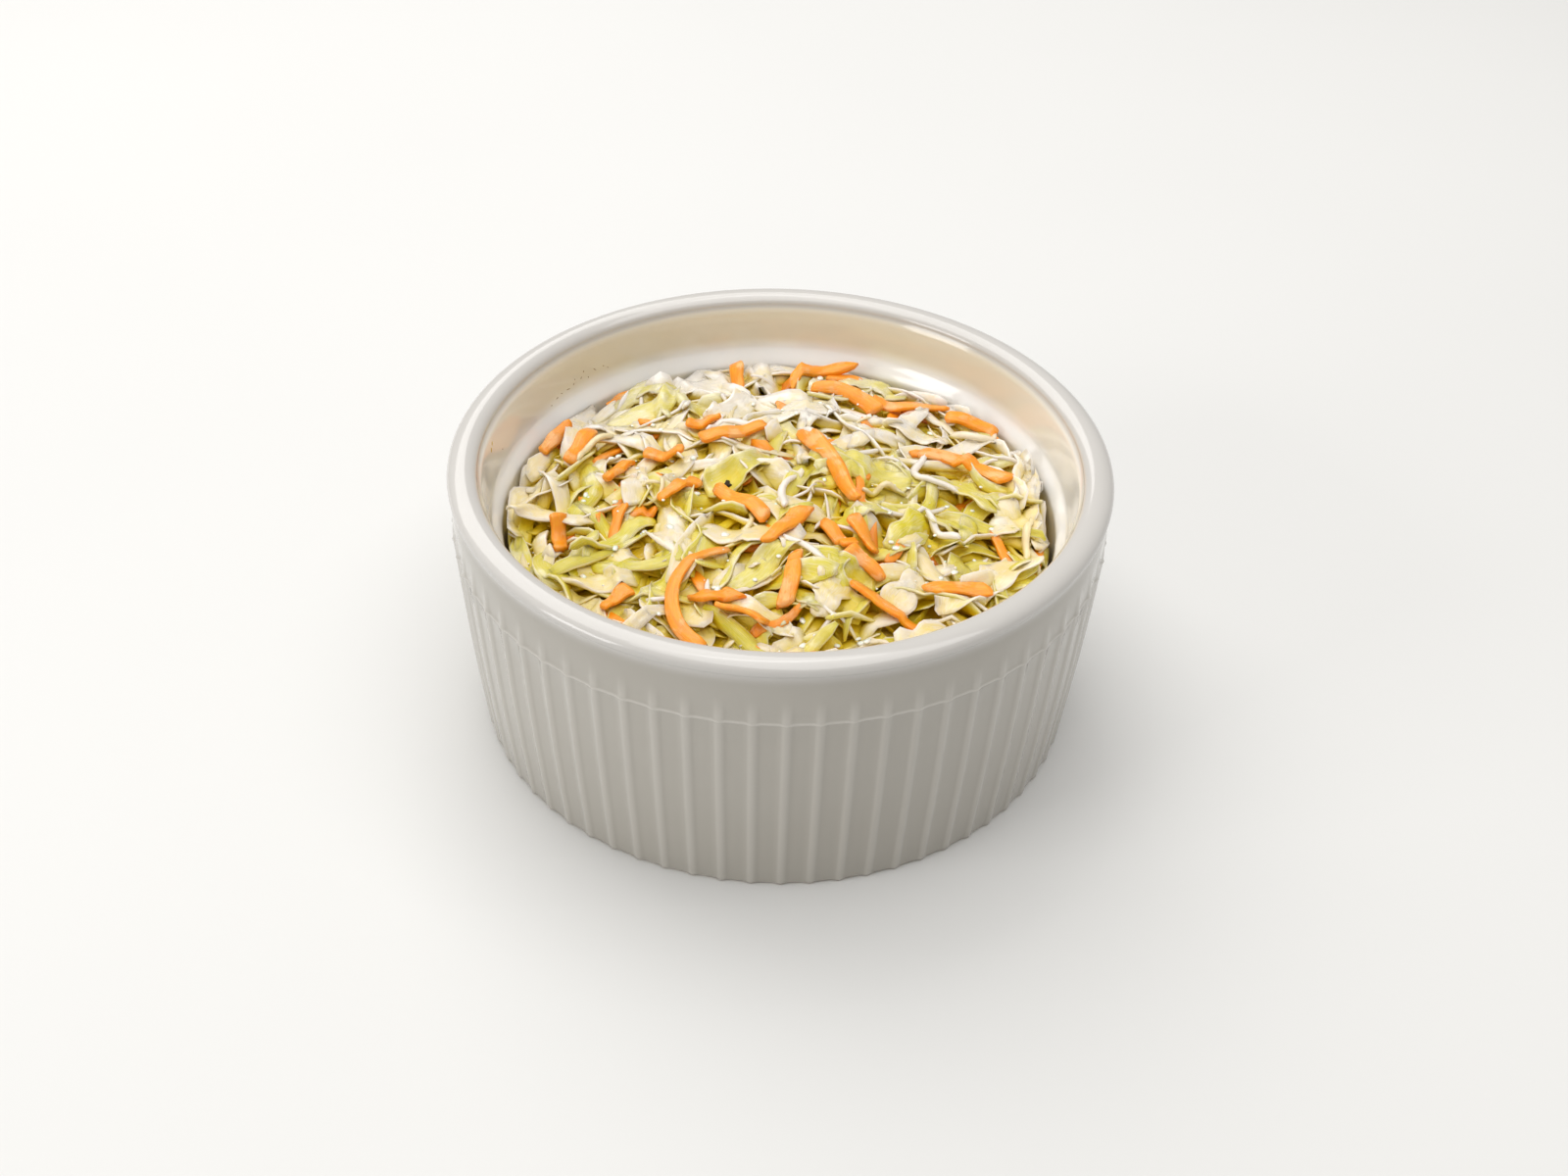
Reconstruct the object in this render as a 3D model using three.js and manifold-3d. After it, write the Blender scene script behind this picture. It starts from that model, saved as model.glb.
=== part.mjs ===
// Coleslaw heaped in the fluted white ramekin that holds it.
// Millimetres, +Z up. The origin is the middle of the foot, on the surface the dish stands on.

import * as THREE from 'three';
import { mergeVertices } from 'three/addons/utils/BufferGeometryUtils.js';
import Module from 'manifold-3d';

const wasm = await Module();
wasm.setup();

// Dish: outside
const lipRadius = 51.4;
const dishHeight = 46;
const baseRadius = 48.7;
const baseCorner = 0.7; // height of the rounded edge at the base
const baseInset = 0.5;
const hairlineRadius = 51.5;
const hairlineHeight = 35.4;
const hairlineProud = 0.15;
const hairlineHalf = 0.4;
const ribCount = 68;
const ribDepth = 0.5;
const ribHalfWidth = 0.18; // share of one rib's pitch
const ribFade = 5.4; // the ribs run on this far above the hairline and die out
const ribTurn = 2; // degrees from the front to the nearest rib

// Dish: lip, inside and foot
const lipHalfWidth = 2.3;
const lipRise = 1.4;
const lipAngles = [0, 36, 66, 90, 114, 144, 180]; // degrees over the lip, outside to inside
const neckDepth = 1.6; // the soft groove under the lip
const neckInset = 0.4;
const wallTopRadius = 46.4;
const wallTopDepth = 2.8;
const wallFootRadius = 45.5;
const ledgeHeight = 34.2;
const ledgeRadius = 43.8;
const shoulderRise = 2.8; // from the ledge up to the straight wall
const lowerTaper = 2; // how far the lower wall leans in, top to bottom
const floorHeight = 4.6;
const floorRadius = 37.5;
const floorCorner = 3.4;
const footInner = 38.5;
const footStep = 1;
const footRecess = 0.8;

// Slaw: the heap and its pieces
const slawClearance = 0.4;
const slawRadius = 43.1; // at the heap's edge, clear of the lower wall
const heapTop = 38.2;
const heapDrop = 5.7; // from the middle to the edge
const heapLump = 0.35;
const lumpSizes = [6.1, 5.3, 3.7, 4.6];
const heapEdge = 0.84; // share of the radius where the heap starts to round off
const heapEdgeDrop = 25;
const heapRings = [0.88, 0.67, 0.45, 0.22];
const heapSides = 36;
const leastBend = 0.5; // degrees, in place of none
const wallMargin = 3.4; // pieces bend round within this distance of the dish
const endSink = 1.1; // a strip's ends lie this many lifts below its middle
const rippleTurns = 9; // radians of waviness along a strip
const rippleLag = 1.3; // and from one edge to the next
const carrotWidth = 2;
const carrotThickness = 1.5;
const carrotStep = 4;
const stringWidth = 1.3;
const stringThickness = 1;
const leafThickness = 0.8;
const narrowLeaf = 3; // below this width a leaf bit is one strip wide

// Carrot shreds that show, in whole millimetres and degrees:
// middle x, middle y, direction, length, bend from end to end, rise of the far end
const carrotRows = [
  [8, 5, -68, 22, -4, 0],
  [11, 31, -25, 13, -55, 0],
  [22, 29, -8, 13, 20, 0],
  [33, 24, -3, 11, 12, 0],
  [30, 10, -24, 16, -30, 0],
  [13, -12, -63, 8, 10, 0],
  [1, -12, -121, 11, -5, 0],
  [9, -12, -60, 9, -12, 1],
  [13, -19, -36, 7, -30, 0],
  [2, -23, -98, 10, -11, 0],
  [16, -27, -30, 12, -4, 0],
  [27, -22, 4, 10, -15, 0],
  [-13, -25, -98, 25, 140, 0],
  [-9, -26, 12, 7, 6, 0],
  [-5, -30, -25, 8, 3, 0],
  [-6, -5, -45, 12, -9, 0],
  [-8, 13, 18, 11, 14, 0],
  [-13, 18, 20, 6, 30, 0],
  [-19, 9, -18, 7, 2, 0],
  [-26, 6, 62, 8, 0, 0],
  [-33, 13, 75, 11, -10, 0],
  [-38, 17, 50, 8, -40, 0],
  [-16, -1, 50, 9, 20, 0],
  [-24, -25, 54, 6, -4, 0],
  [-34, -10, -81, 7, 0, 0],
  [-8, 36, -84, 7, 0, -5],
  [6, 38, 20, 12, -80, 1],
];

// Cabbage strips and leaf bits that show: the same six values, then the width
const leafRows = [
  [-16, -11, -87, 13, 0, 0, 6],
  [-23, 2, -86, 12, 0, 0, 4],
  [15, 5, -6, 12, 6, 0, 5],
  [-6, 4, 35, 14, 12, 0, 5],
  [-6, -12, -16, 12, 0, 0, 6],
  [-3, -20, 48, 11, 0, 1, 4],
  [-3, -29, -20, 12, -15, 0, 4],
  [8, -26, 65, 8, -10, 0, 5],
  [9, -20, -23, 12, 0, 0, 4],
  [19, -23, 56, 10, 0, 0, 5],
  [20, -10, 48, 9, 0, 0, 5],
  [-27, -21, 10, 11, -5, 0, 5],
  [-19, -18, 0, 19, 32, 0, 2],
  [-24, -9, 49, 11, 10, 0, 4],
  [-35, -5, -22, 12, -12, 0, 6],
  [-34, 20, 84, 18, 0, 0, 5],
  [-24, 24, 20, 12, 0, 0, 6],
  [-24, 33, -18, 10, -30, 0, 6],
  [-14, 33, 17, 11, -40, 0, 6],
  [-3, 35, -16, 10, -30, 1, 7],
  [15, 37, 5, 11, -30, 0, 6],
  [15, 19, -60, 9, 0, 0, 5],
  [23, 20, -20, 11, 15, 0, 5],
  [3, 24, 10, 12, 0, 0, 5],
  [-8, 26, 60, 10, 20, 0, 5],
  [31, 3, -54, 10, 10, 0, 5],
  [37, -3, 28, 9, 20, 0, 5],
  [14, -5, 26, 12, 10, 0, 4],
  [34, -17, 49, 10, 0, 0, 6],
];

// Thin white shreds that show: the six values again
const stringRows = [
  [1, -2, -100, 11, -5, 1],
  [24, 7, -64, 16, 9, 0],
  [16, 1, 24, 7, -9, 0],
  [-9, 16, 22, 11, -50, 0],
  [5, 14, -56, 8, 9, 0],
  [-31, 12, 63, 11, -15, 0],
  [4, -17, -36, 8, 3, 0],
  [25, -9, -50, 8, -12, 0],
  [33, 20, 14, 12, 50, 0],
  [39, -6, -99, 10, -19, 0],
];

const fillRings = [
  { radius: 28, count: 4 },
  { radius: 39, count: 12 },
];

const degree = Math.PI / 180;

// Mulberry32: the same seed gives the same heap
function makeRandom(seed) {
  let state = seed;
  return (low, high) => {
    state = (state + 0x6d2b79f5) | 0;
    let mixed = Math.imul(state ^ (state >>> 15), 1 | state);
    mixed = (mixed + Math.imul(mixed ^ (mixed >>> 7), 61 | mixed)) ^ mixed;
    const share = ((mixed ^ (mixed >>> 14)) >>> 0) / 4294967296;
    return low + share * (high - low);
  };
}

// A closed skin from a pole at the bottom, through rings of points, to a pole at the top.
// Each ring is a list of [x, y, z], counter-clockwise from above.
function skinGeometry(bottomPole, rings, topPole) {
  const positions = [...bottomPole];
  const starts = [];
  for (const ring of rings) {
    starts.push(positions.length / 3);
    for (const point of ring) positions.push(...point);
  }
  const last = positions.length / 3;
  positions.push(...topPole);
  const index = [];
  const first = rings[0].length;
  for (let i = 0; i < first; i++) {
    index.push(0, starts[0] + ((i + 1) % first), starts[0] + i);
  }
  for (let k = 0; k + 1 < rings.length; k++) {
    stitchRings(index, starts[k], rings[k].length, starts[k + 1], rings[k + 1].length);
  }
  const final = rings.length - 1;
  const finalCount = rings[final].length;
  for (let i = 0; i < finalCount; i++) {
    index.push(starts[final] + i, starts[final] + ((i + 1) % finalCount), last);
  }
  const geometry = new THREE.BufferGeometry();
  geometry.setAttribute('position', new THREE.Float32BufferAttribute(positions, 3));
  geometry.setIndex(index);
  return geometry;
}

// Triangles between two rings of any two counts: the ring that lags behind takes the next step
function stitchRings(index, lowStart, lowCount, highStart, highCount) {
  let low = 0;
  let high = 0;
  while (low < lowCount || high < highCount) {
    const a = lowStart + (low % lowCount);
    const b = highStart + (high % highCount);
    const lowNext = (low + 1) * highCount;
    const highNext = (high + 1) * lowCount;
    if (high === highCount || (low < lowCount && lowNext <= highNext)) {
      index.push(a, lowStart + ((low + 1) % lowCount), b);
      low += 1;
    } else {
      index.push(a, highStart + ((high + 1) % highCount), b);
      high += 1;
    }
  }
}

// A plain ring of the dish, one point to a rib
function plainRing(radius, height) {
  const ring = [];
  for (let rib = 0; rib < ribCount; rib++) {
    const angle = (rib / ribCount) * 2 * Math.PI + (ribTurn - 90) * degree;
    ring.push([radius * Math.cos(angle), radius * Math.sin(angle), height]);
  }
  return ring;
}

// A fluted ring: each rib is a narrow crest between broad shallow panels
function flutedRing(crestRadius, depth, height) {
  const ring = [];
  for (let rib = 0; rib < ribCount; rib++) {
    for (const [share, sunk] of [[0, 0], [ribHalfWidth, 1], [1 - ribHalfWidth, 1]]) {
      const angle = ((rib + share) / ribCount) * 2 * Math.PI + (ribTurn - 90) * degree;
      const radius = crestRadius - sunk * depth;
      ring.push([radius * Math.cos(angle), radius * Math.sin(angle), height]);
    }
  }
  return ring;
}

function ramekinGeometry() {
  const lipMiddle = lipRadius - lipHalfWidth;
  const lipBase = dishHeight - lipRise;
  const lowerFoot = ledgeRadius - lowerTaper;
  const rings = [
    plainRing(footInner - footStep, footRecess),
    plainRing(footInner, 0),
    flutedRing(baseRadius - baseInset, ribDepth, 0),
    flutedRing(baseRadius, ribDepth, baseCorner),
    flutedRing(hairlineRadius, ribDepth, hairlineHeight - hairlineHalf),
    flutedRing(hairlineRadius + hairlineProud, 0.5 * ribDepth, hairlineHeight),
    flutedRing(hairlineRadius, 0.8 * ribDepth, hairlineHeight + hairlineHalf),
    plainRing(lipRadius - 0.5 * neckInset, hairlineHeight + ribFade),
    plainRing(lipRadius - neckInset, lipBase - neckDepth),
  ];
  for (const angle of lipAngles) {
    const radius = lipMiddle + lipHalfWidth * Math.cos(angle * degree);
    rings.push(plainRing(radius, lipBase + lipRise * Math.sin(angle * degree)));
  }
  rings.push(
    plainRing(wallTopRadius, dishHeight - wallTopDepth),
    plainRing(wallFootRadius, ledgeHeight + shoulderRise),
    plainRing(0.8 * wallFootRadius + 0.2 * ledgeRadius, ledgeHeight + 0.58 * shoulderRise),
    plainRing(0.2 * wallFootRadius + 0.8 * ledgeRadius, ledgeHeight + 0.18 * shoulderRise),
    plainRing(ledgeRadius, ledgeHeight - 0.2 * shoulderRise),
    plainRing(lowerFoot, floorHeight + floorCorner),
    plainRing(0.35 * floorRadius + 0.65 * lowerFoot, floorHeight + 0.3 * floorCorner),
    plainRing(floorRadius, floorHeight),
  );
  return skinGeometry([0, 0, footRecess], rings, [0, 0, floorHeight]);
}

// Height of the bare heap under the pieces that show
function heapHeight(x, y) {
  const share = Math.hypot(x, y) / ledgeRadius;
  const [long, wide, short, narrow] = lumpSizes;
  const lumps = Math.sin(x / long) * Math.cos(y / wide) + Math.sin(x / short - y / narrow);
  const edge = Math.max(0, share - heapEdge);
  return heapTop - heapDrop * share ** 2 + heapLump * lumps - heapEdgeDrop * edge ** 2;
}

// The heap: it fills the dish and rises to an uneven dome
function heapGeometry() {
  const ringAt = (radius, height) => {
    const ring = [];
    for (let i = 0; i < heapSides; i++) {
      const angle = (i / heapSides) * 2 * Math.PI;
      const x = radius * Math.cos(angle);
      const y = radius * Math.sin(angle);
      ring.push([x, y, height ?? heapHeight(x, y)]);
    }
    return ring;
  };
  const lowerFoot = ledgeRadius - lowerTaper - slawClearance;
  const rings = [
    ringAt(floorRadius - slawClearance, floorHeight + slawClearance),
    ringAt(0.4 * floorRadius + 0.6 * lowerFoot, floorHeight + slawClearance + 0.3 * floorCorner),
    ringAt(lowerFoot, floorHeight + slawClearance + floorCorner),
    ringAt(slawRadius),
  ];
  for (const share of heapRings) rings.push(ringAt(share * slawRadius));
  const floor = [0, 0, floorHeight + slawClearance];
  return skinGeometry(floor, rings, [0, 0, heapHeight(0, 0)]);
}

// A shred or leaf bit: a wavy strip that lies along the heap, its two ends sunk in it
function stripGeometry(row, form) {
  const [x, y, turn, length, bend, rise] = row;
  const { width, thickness, steps, strips, lift, wave, cup, tilt, taper } = form;
  const curve = (bend || leastBend) * degree;
  const heading = turn * degree;
  const radius = length / curve;
  const top = [];
  const bottom = [];
  for (let i = 0; i <= steps; i++) {
    const t = i / steps - 0.5;
    const direction = heading + curve * t;
    const alongX = x + radius * (Math.sin(direction) - Math.sin(heading));
    const alongY = y - radius * (Math.cos(direction) - Math.cos(heading));
    const broad = width * (1 - taper * (2 * t) ** 2);
    for (let j = 0; j <= strips; j++) {
      const u = j / strips - 0.5;
      const farX = alongX - u * broad * Math.sin(direction);
      const farY = alongY + u * broad * Math.cos(direction);
      const far = Math.hypot(farX, farY);
      const start = slawRadius - wallMargin;
      const near = far > start ? start + wallMargin * Math.tanh((far - start) / wallMargin) : far;
      const px = (farX * near) / far;
      const py = (farY * near) / far;
      const arch = lift * (1 - endSink * (2 * t) ** 2);
      const ripple = wave * Math.sin(rippleTurns * t + x + rippleLag * j);
      const across = cup * (2 * u) ** 2 + tilt * u;
      const level = heapHeight(px, py) + arch + ripple + across + rise * (t + 0.5);
      top.push([px, py, level]);
      bottom.push([px, py, level - thickness]);
    }
  }
  return slabGeometry(top, bottom, steps, strips);
}

// A closed slab from two like grids of points, the upper and the lower face
function slabGeometry(top, bottom, steps, strips) {
  const columns = strips + 1;
  const offset = top.length;
  const index = [];
  const at = (i, j) => i * columns + j;
  for (let i = 0; i < steps; i++) {
    for (let j = 0; j < strips; j++) {
      const corners = [at(i, j), at(i + 1, j), at(i + 1, j + 1), at(i, j + 1)];
      const [a, b, c, d] = corners;
      index.push(a, b, c, a, c, d);
      index.push(offset + a, offset + c, offset + b, offset + a, offset + d, offset + c);
    }
  }
  const rim = [];
  for (let i = 0; i < steps; i++) rim.push(at(i, 0));
  for (let j = 0; j < strips; j++) rim.push(at(steps, j));
  for (let i = steps; i > 0; i--) rim.push(at(i, strips));
  for (let j = strips; j > 0; j--) rim.push(at(0, j));
  for (let k = 0; k < rim.length; k++) {
    const here = rim[k];
    const next = rim[(k + 1) % rim.length];
    index.push(here, offset + here, offset + next, here, offset + next, next);
  }
  const geometry = new THREE.BufferGeometry();
  const points = [...top, ...bottom].flat();
  geometry.setAttribute('position', new THREE.Float32BufferAttribute(points, 3));
  geometry.setIndex(index);
  return geometry;
}

function carrotGeometry(row) {
  return stripGeometry(row, {
    width: carrotWidth,
    thickness: carrotThickness,
    steps: Math.max(3, Math.round(row[3] / carrotStep)),
    strips: 1,
    lift: 2.1,
    wave: 0.2,
    cup: 0,
    tilt: 0,
    taper: 0.3,
  });
}

function stringGeometry(row) {
  return stripGeometry(row, {
    width: stringWidth,
    thickness: stringThickness,
    steps: 4,
    strips: 1,
    lift: 2.3,
    wave: 0.3,
    cup: 0,
    tilt: 0,
    taper: 0.4,
  });
}

function leafGeometry(row, random) {
  const width = row[6];
  return stripGeometry(row, {
    width,
    thickness: leafThickness,
    steps: width < narrowLeaf ? 6 : 4,
    strips: width < narrowLeaf ? 1 : 2,
    lift: random(1.5, 2.3),
    wave: random(0.25, 0.5),
    cup: random(-0.2, 0.5),
    tilt: random(-1.3, 1.3),
    taper: random(0.3, 0.6),
  });
}

// Leaf bits that close the gaps between the pieces placed by hand
function fillLeaves(random) {
  const rows = [];
  for (const { radius, count } of fillRings) {
    for (let i = 0; i < count; i++) {
      const angle = ((i + random(-0.3, 0.3)) / count) * 360;
      const x = radius * Math.cos(angle * degree);
      const y = radius * Math.sin(angle * degree);
      const turn = angle + 90 + random(-50, 50);
      rows.push([x, y, turn, random(8, 13), random(-30, 40), 0, random(3.5, 6)]);
    }
  }
  return rows;
}

function toSolid(geometry) {
  const vertProperties = new Float32Array(geometry.attributes.position.array);
  const triVerts = new Uint32Array(geometry.index.array);
  return new wasm.Manifold(new wasm.Mesh({ numProp: 3, vertProperties, triVerts }));
}

function toGeometry(solid) {
  const mesh = solid.getMesh();
  const geometry = new THREE.BufferGeometry();
  geometry.setAttribute('position', new THREE.Float32BufferAttribute(mesh.vertProperties, 3));
  geometry.setIndex([...mesh.triVerts]);
  return mergeVertices(geometry, 1e-4);
}

// The heap with its pieces fused on: the largest body is kept, so sealed hollows are
// filled and loose scraps dropped
function slawGeometry() {
  const random = makeRandom(11);
  const pieces = [heapGeometry()];
  for (const row of carrotRows) pieces.push(carrotGeometry(row));
  for (const row of stringRows) pieces.push(stringGeometry(row));
  for (const row of leafRows) pieces.push(leafGeometry(row, random));
  for (const row of fillLeaves(random)) pieces.push(leafGeometry(row, random));
  const joined = wasm.Manifold.union(pieces.map(toSolid));
  const bodies = joined.decompose();
  bodies.sort((a, b) => b.volume() - a.volume());
  return toGeometry(bodies[0]);
}

function namedMesh(name, geometry, color, roughness) {
  const flat = geometry.index ? geometry.toNonIndexed() : geometry;
  flat.computeVertexNormals();
  const material = new THREE.MeshStandardMaterial({ color, roughness, metalness: 0 });
  const mesh = new THREE.Mesh(flat, material);
  mesh.name = name;
  return mesh;
}

const group = new THREE.Group();
group.add(namedMesh('ramekin', ramekinGeometry(), '#f0ebe6', 0.15));
group.add(namedMesh('coleslaw', slawGeometry(), '#d8ce8a', 0.4));

export default group;
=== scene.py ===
# %% [markdown]
# Coleslaw in a fluted ramekin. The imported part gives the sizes: a round white dish, and one heap
# of slaw in it. This script dresses both. The dish becomes a finely spun and glazed one, and the
# heap becomes a core with real shreds of cabbage and carrot laid over it, one on top of another.
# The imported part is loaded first, because every new piece sits in its frame, in metres.

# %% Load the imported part
import math

import bmesh
import bpy
import numpy as np
from mathutils import Matrix, Vector


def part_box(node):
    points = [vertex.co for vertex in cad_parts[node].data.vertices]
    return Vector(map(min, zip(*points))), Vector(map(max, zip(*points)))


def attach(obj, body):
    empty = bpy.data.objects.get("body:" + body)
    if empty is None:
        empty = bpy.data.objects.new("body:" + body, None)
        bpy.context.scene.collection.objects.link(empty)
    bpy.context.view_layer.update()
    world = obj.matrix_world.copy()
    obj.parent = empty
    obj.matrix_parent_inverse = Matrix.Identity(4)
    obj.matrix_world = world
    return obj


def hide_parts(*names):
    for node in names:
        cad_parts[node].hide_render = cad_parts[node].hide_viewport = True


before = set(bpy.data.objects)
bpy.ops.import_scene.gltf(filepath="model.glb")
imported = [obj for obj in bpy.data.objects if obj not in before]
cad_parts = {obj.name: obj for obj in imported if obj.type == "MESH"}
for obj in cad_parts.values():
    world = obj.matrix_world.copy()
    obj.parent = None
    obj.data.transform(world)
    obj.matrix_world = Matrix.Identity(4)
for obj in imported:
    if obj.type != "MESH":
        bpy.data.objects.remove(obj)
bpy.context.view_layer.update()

MM = 0.001
dish_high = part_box("ramekin")[1]
slaw_low, slaw_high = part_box("coleslaw")
dish_radius = dish_high.y / MM
dish_height = dish_high.z / MM
print(f"dish {2 * dish_radius:.1f} mm across, {dish_height:.1f} mm high")
print(f"slaw from {slaw_low.z / MM:.1f} to {slaw_high.z / MM:.1f} mm high")

# %% [markdown]
# Modelling by hand means: select something, then push, turn or scale it. An operator acts on all
# that is selected, so each piece starts with nothing selected, and points are picked by a test on
# their place. These few helpers keep the steps below short.

# %% Helpers for modelling
def start_fresh():
    """Leaves edit mode and deselects everything."""
    if bpy.context.object and bpy.context.object.mode != "OBJECT":
        bpy.ops.object.mode_set(mode="OBJECT")
    bpy.ops.object.select_all(action="DESELECT")


def take(piece):
    """Makes one piece the only selected and active one."""
    start_fresh()
    piece.select_set(True)
    bpy.context.view_layer.objects.active = piece


def pick_points(test):
    """In edit mode, selects only the points whose place passes the test."""
    bpy.ops.mesh.select_all(action="DESELECT")
    shape = bmesh.from_edit_mesh(bpy.context.object.data)
    for point in shape.verts:
        point.select = test(point.co)
    shape.select_flush_mode()
    bmesh.update_edit_mesh(bpy.context.object.data)


def apply_modifier(piece, kind, **settings):
    """Adds a modifier with these settings and applies it."""
    take(piece)
    modifier = piece.modifiers.new(kind.title(), kind)
    for name, value in settings.items():
        setattr(modifier, name, value)
    bpy.ops.object.modifier_apply(modifier=modifier.name)


def count_faces(piece):
    faces = sum(len(face.vertices) - 2 for face in piece.data.polygons)
    size = [round(side / MM, 1) for side in piece.dimensions]
    print(f"{piece.name}: {faces} triangles, {size} mm")


# %% [markdown]
# The ramekin's section. A ramekin is cast in a mould, and its section never changes on the way
# round: a foot with a shallow recess, a rounded corner, a wall that leans out, a thin raised line,
# a plain collar with a soft neck, a fat rounded lip, then down the inside to a ledge, a lower wall
# and the floor. Only the ribs interrupt it. So the section is worked out once, as a list of
# (radius, height) in millimetres, with its round stretches as arcs.

# %% The section of the dish
BASE_RADIUS = 48.7
BASE_CORNER = 0.8
WALL_BULGE = 0.3
LINE_RADIUS = 51.5
LINE_HEIGHT = 35.4
LINE_PROUD = 0.15
# The raised line's section: height above its middle, and share of its full proudness
line_rows = [(-0.55, 0), (-0.28, 0.4), (0, 1), (0.28, 0.5), (0.6, 0)]
COLLAR_FOOT = 0.6
COLLAR_LEAN = 0.28
RIB_FADE = 5.4
NECK_RADIUS = 51.0
NECK_HEIGHT = 42.9
LIP_HALF_WIDTH = 2.3
LIP_RISE = 1.4
WALL_TOP = (46.4, 43.2)
WALL_FOOT = (45.5, 37.2)
LEDGE = (43.8, 33.6)
LOWER_FOOT = (41.8, 8.0)
FLOOR_HEIGHT = 4.6
FLOOR_CORNER = 3.4
FOOT_INNER = 38.5
FOOT_RECESS = 0.8


def arc(radius, height, half_width, half_height, start, end, steps):
    """Points on an elliptic arc of the section, from one angle to another, in degrees."""
    angles = [math.radians(start + (end - start) * i / steps) for i in range(steps + 1)]
    return [(radius + half_width * math.cos(a), height + half_height * math.sin(a)) for a in angles]


def ease(share):
    """Goes from 0 to 1 with a level start and end."""
    return share * share * (3 - 2 * share)


def run(start, end, steps, curve=lambda share: share):
    """Points after the start, up to the end, whose radius follows a curve of the share."""
    points = []
    for step in range(1, steps + 1):
        share = step / steps
        radius = start[0] + (end[0] - start[0]) * curve(share)
        points.append((radius, start[1] + (end[1] - start[1]) * share))
    return points


def dish_section():
    """The whole section, from the middle of the foot round to the middle of the floor."""
    foot = [(0, FOOT_RECESS), (14, FOOT_RECESS), (30, FOOT_RECESS), (37.2, FOOT_RECESS)]
    foot += [(37.8, 0.7), (38.2, 0.3), (FOOT_INNER, 0.04), (39.2, 0), (46.8, 0)]
    corner = arc(BASE_RADIUS - BASE_CORNER, BASE_CORNER, BASE_CORNER, BASE_CORNER, -82, 0, 5)
    wall = []
    for radius, height in run((BASE_RADIUS, BASE_CORNER), (LINE_RADIUS, LINE_HEIGHT), 7)[:-1]:
        share = (height - BASE_CORNER) / (LINE_HEIGHT - BASE_CORNER)
        wall.append((radius + WALL_BULGE * math.sin(math.pi * share), height))
    line = [(LINE_RADIUS + LINE_PROUD * proud, LINE_HEIGHT + above) for above, proud in line_rows]
    collar_foot = (LINE_RADIUS, LINE_HEIGHT + COLLAR_FOOT)
    collar = run(collar_foot, (LINE_RADIUS - COLLAR_LEAN, LINE_HEIGHT + RIB_FADE), 5, ease)
    lip_middle = dish_radius - LIP_HALF_WIDTH
    lip_base = dish_height - LIP_RISE
    neck = [(51.08, 42.0), (NECK_RADIUS, NECK_HEIGHT), (51.06, 43.5), (51.22, 44.0)]
    lip = arc(lip_middle, lip_base, LIP_HALF_WIDTH, LIP_RISE, -8, 188, 16)
    inside = [(46.62, 44.0), WALL_TOP] + run(WALL_TOP, WALL_FOOT, 4)
    shoulder = run(WALL_FOOT, LEDGE, 10, ease)
    lower = [(43.5, 29.6), (42.9, 22), LOWER_FOOT]
    floor_start = LOWER_FOOT[0] - FLOOR_CORNER
    floor = arc(floor_start, FLOOR_HEIGHT + FLOOR_CORNER, FLOOR_CORNER, FLOOR_CORNER, -15, -90, 5)
    floor += [(26, FLOOR_HEIGHT), (13, FLOOR_HEIGHT), (0, FLOOR_HEIGHT)]
    return foot + corner + wall + line + collar + neck + lip + inside + shoulder + lower + floor


section = dish_section()
print(f"the section has {len(section)} points")

# %% [markdown]
# From section to flute. The section could be spun all the way round and the ribs carved out of
# it, but the ribs are all alike, so one flute is enough: the section is drawn by extruding a
# single point, spun through one rib's share of the circle, and its columns are pushed in, all
# but the one that stays as the rib. Spin turns clockwise seen from above, so its angle is negative
# here. Above the raised line the ribs fade into the collar, row by row.

# %% One flute of the dish
RIB_COUNT = 68
COLUMNS = 10
RIB_DEPTH = 0.38
RIB_WIDTH = 0.15
RIB_TURN = 2
OUTER_SKIN = 46.5
WALL_END = -0.45
# From and to, in mm above the raised line, and the share of the panels' depth that is left there
fade_rows = [
    (-0.4, -0.2, 0.9), (-0.1, 0.1, 0.7), (0.2, 0.4, 0.8), (0.5, 1.2, 0.8),
    (1.3, 2.1, 0.62), (2.2, 3.1, 0.4), (3.2, 4.1, 0.18), (4.2, 5, 0.05),
]
pitch = 2 * math.pi / RIB_COUNT
first_angle = math.radians(RIB_TURN - 90)


def draw_section():
    """A new object with the section drawn as one chain of edges, at the first rib's angle."""
    start_fresh()
    bpy.ops.mesh.primitive_plane_add(size=MM)
    bpy.ops.object.mode_set(mode="EDIT")
    bpy.ops.mesh.merge(type="CENTER")
    along = Vector((math.cos(first_angle), math.sin(first_angle), 0))
    places = [along * radius * MM + Vector((0, 0, height * MM)) for radius, height in section]
    bpy.ops.transform.translate(value=places[0])
    for before, after in zip(places, places[1:]):
        bpy.ops.mesh.extrude_region_move(TRANSFORM_OT_translate={"value": after - before})
    return bpy.context.object


def push_in(column, low, high, depth):
    """Moves one column's points between two heights towards the axis."""
    angle = first_angle + pitch * column / COLUMNS
    middle = (BASE_RADIUS + LINE_RADIUS) / 2

    def on_column(place):
        radius = math.hypot(place.x, place.y) / MM
        turn = math.atan2(place.y, place.x) - angle
        outside = radius > OUTER_SKIN and low < place.z / MM < high
        return outside and abs(turn) < pitch / COLUMNS / 4

    pick_points(on_column)
    shrink = 1 - depth / middle
    bpy.ops.transform.resize(value=(shrink, shrink, 1), center_override=(0, 0, 0))


def ridge(column):
    """How much of the rib's height a column keeps: 1 on the rib, 0 on the panel beside it."""
    share = min(column, COLUMNS - column) / COLUMNS
    return math.exp(-((share / RIB_WIDTH) ** 2))


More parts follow.
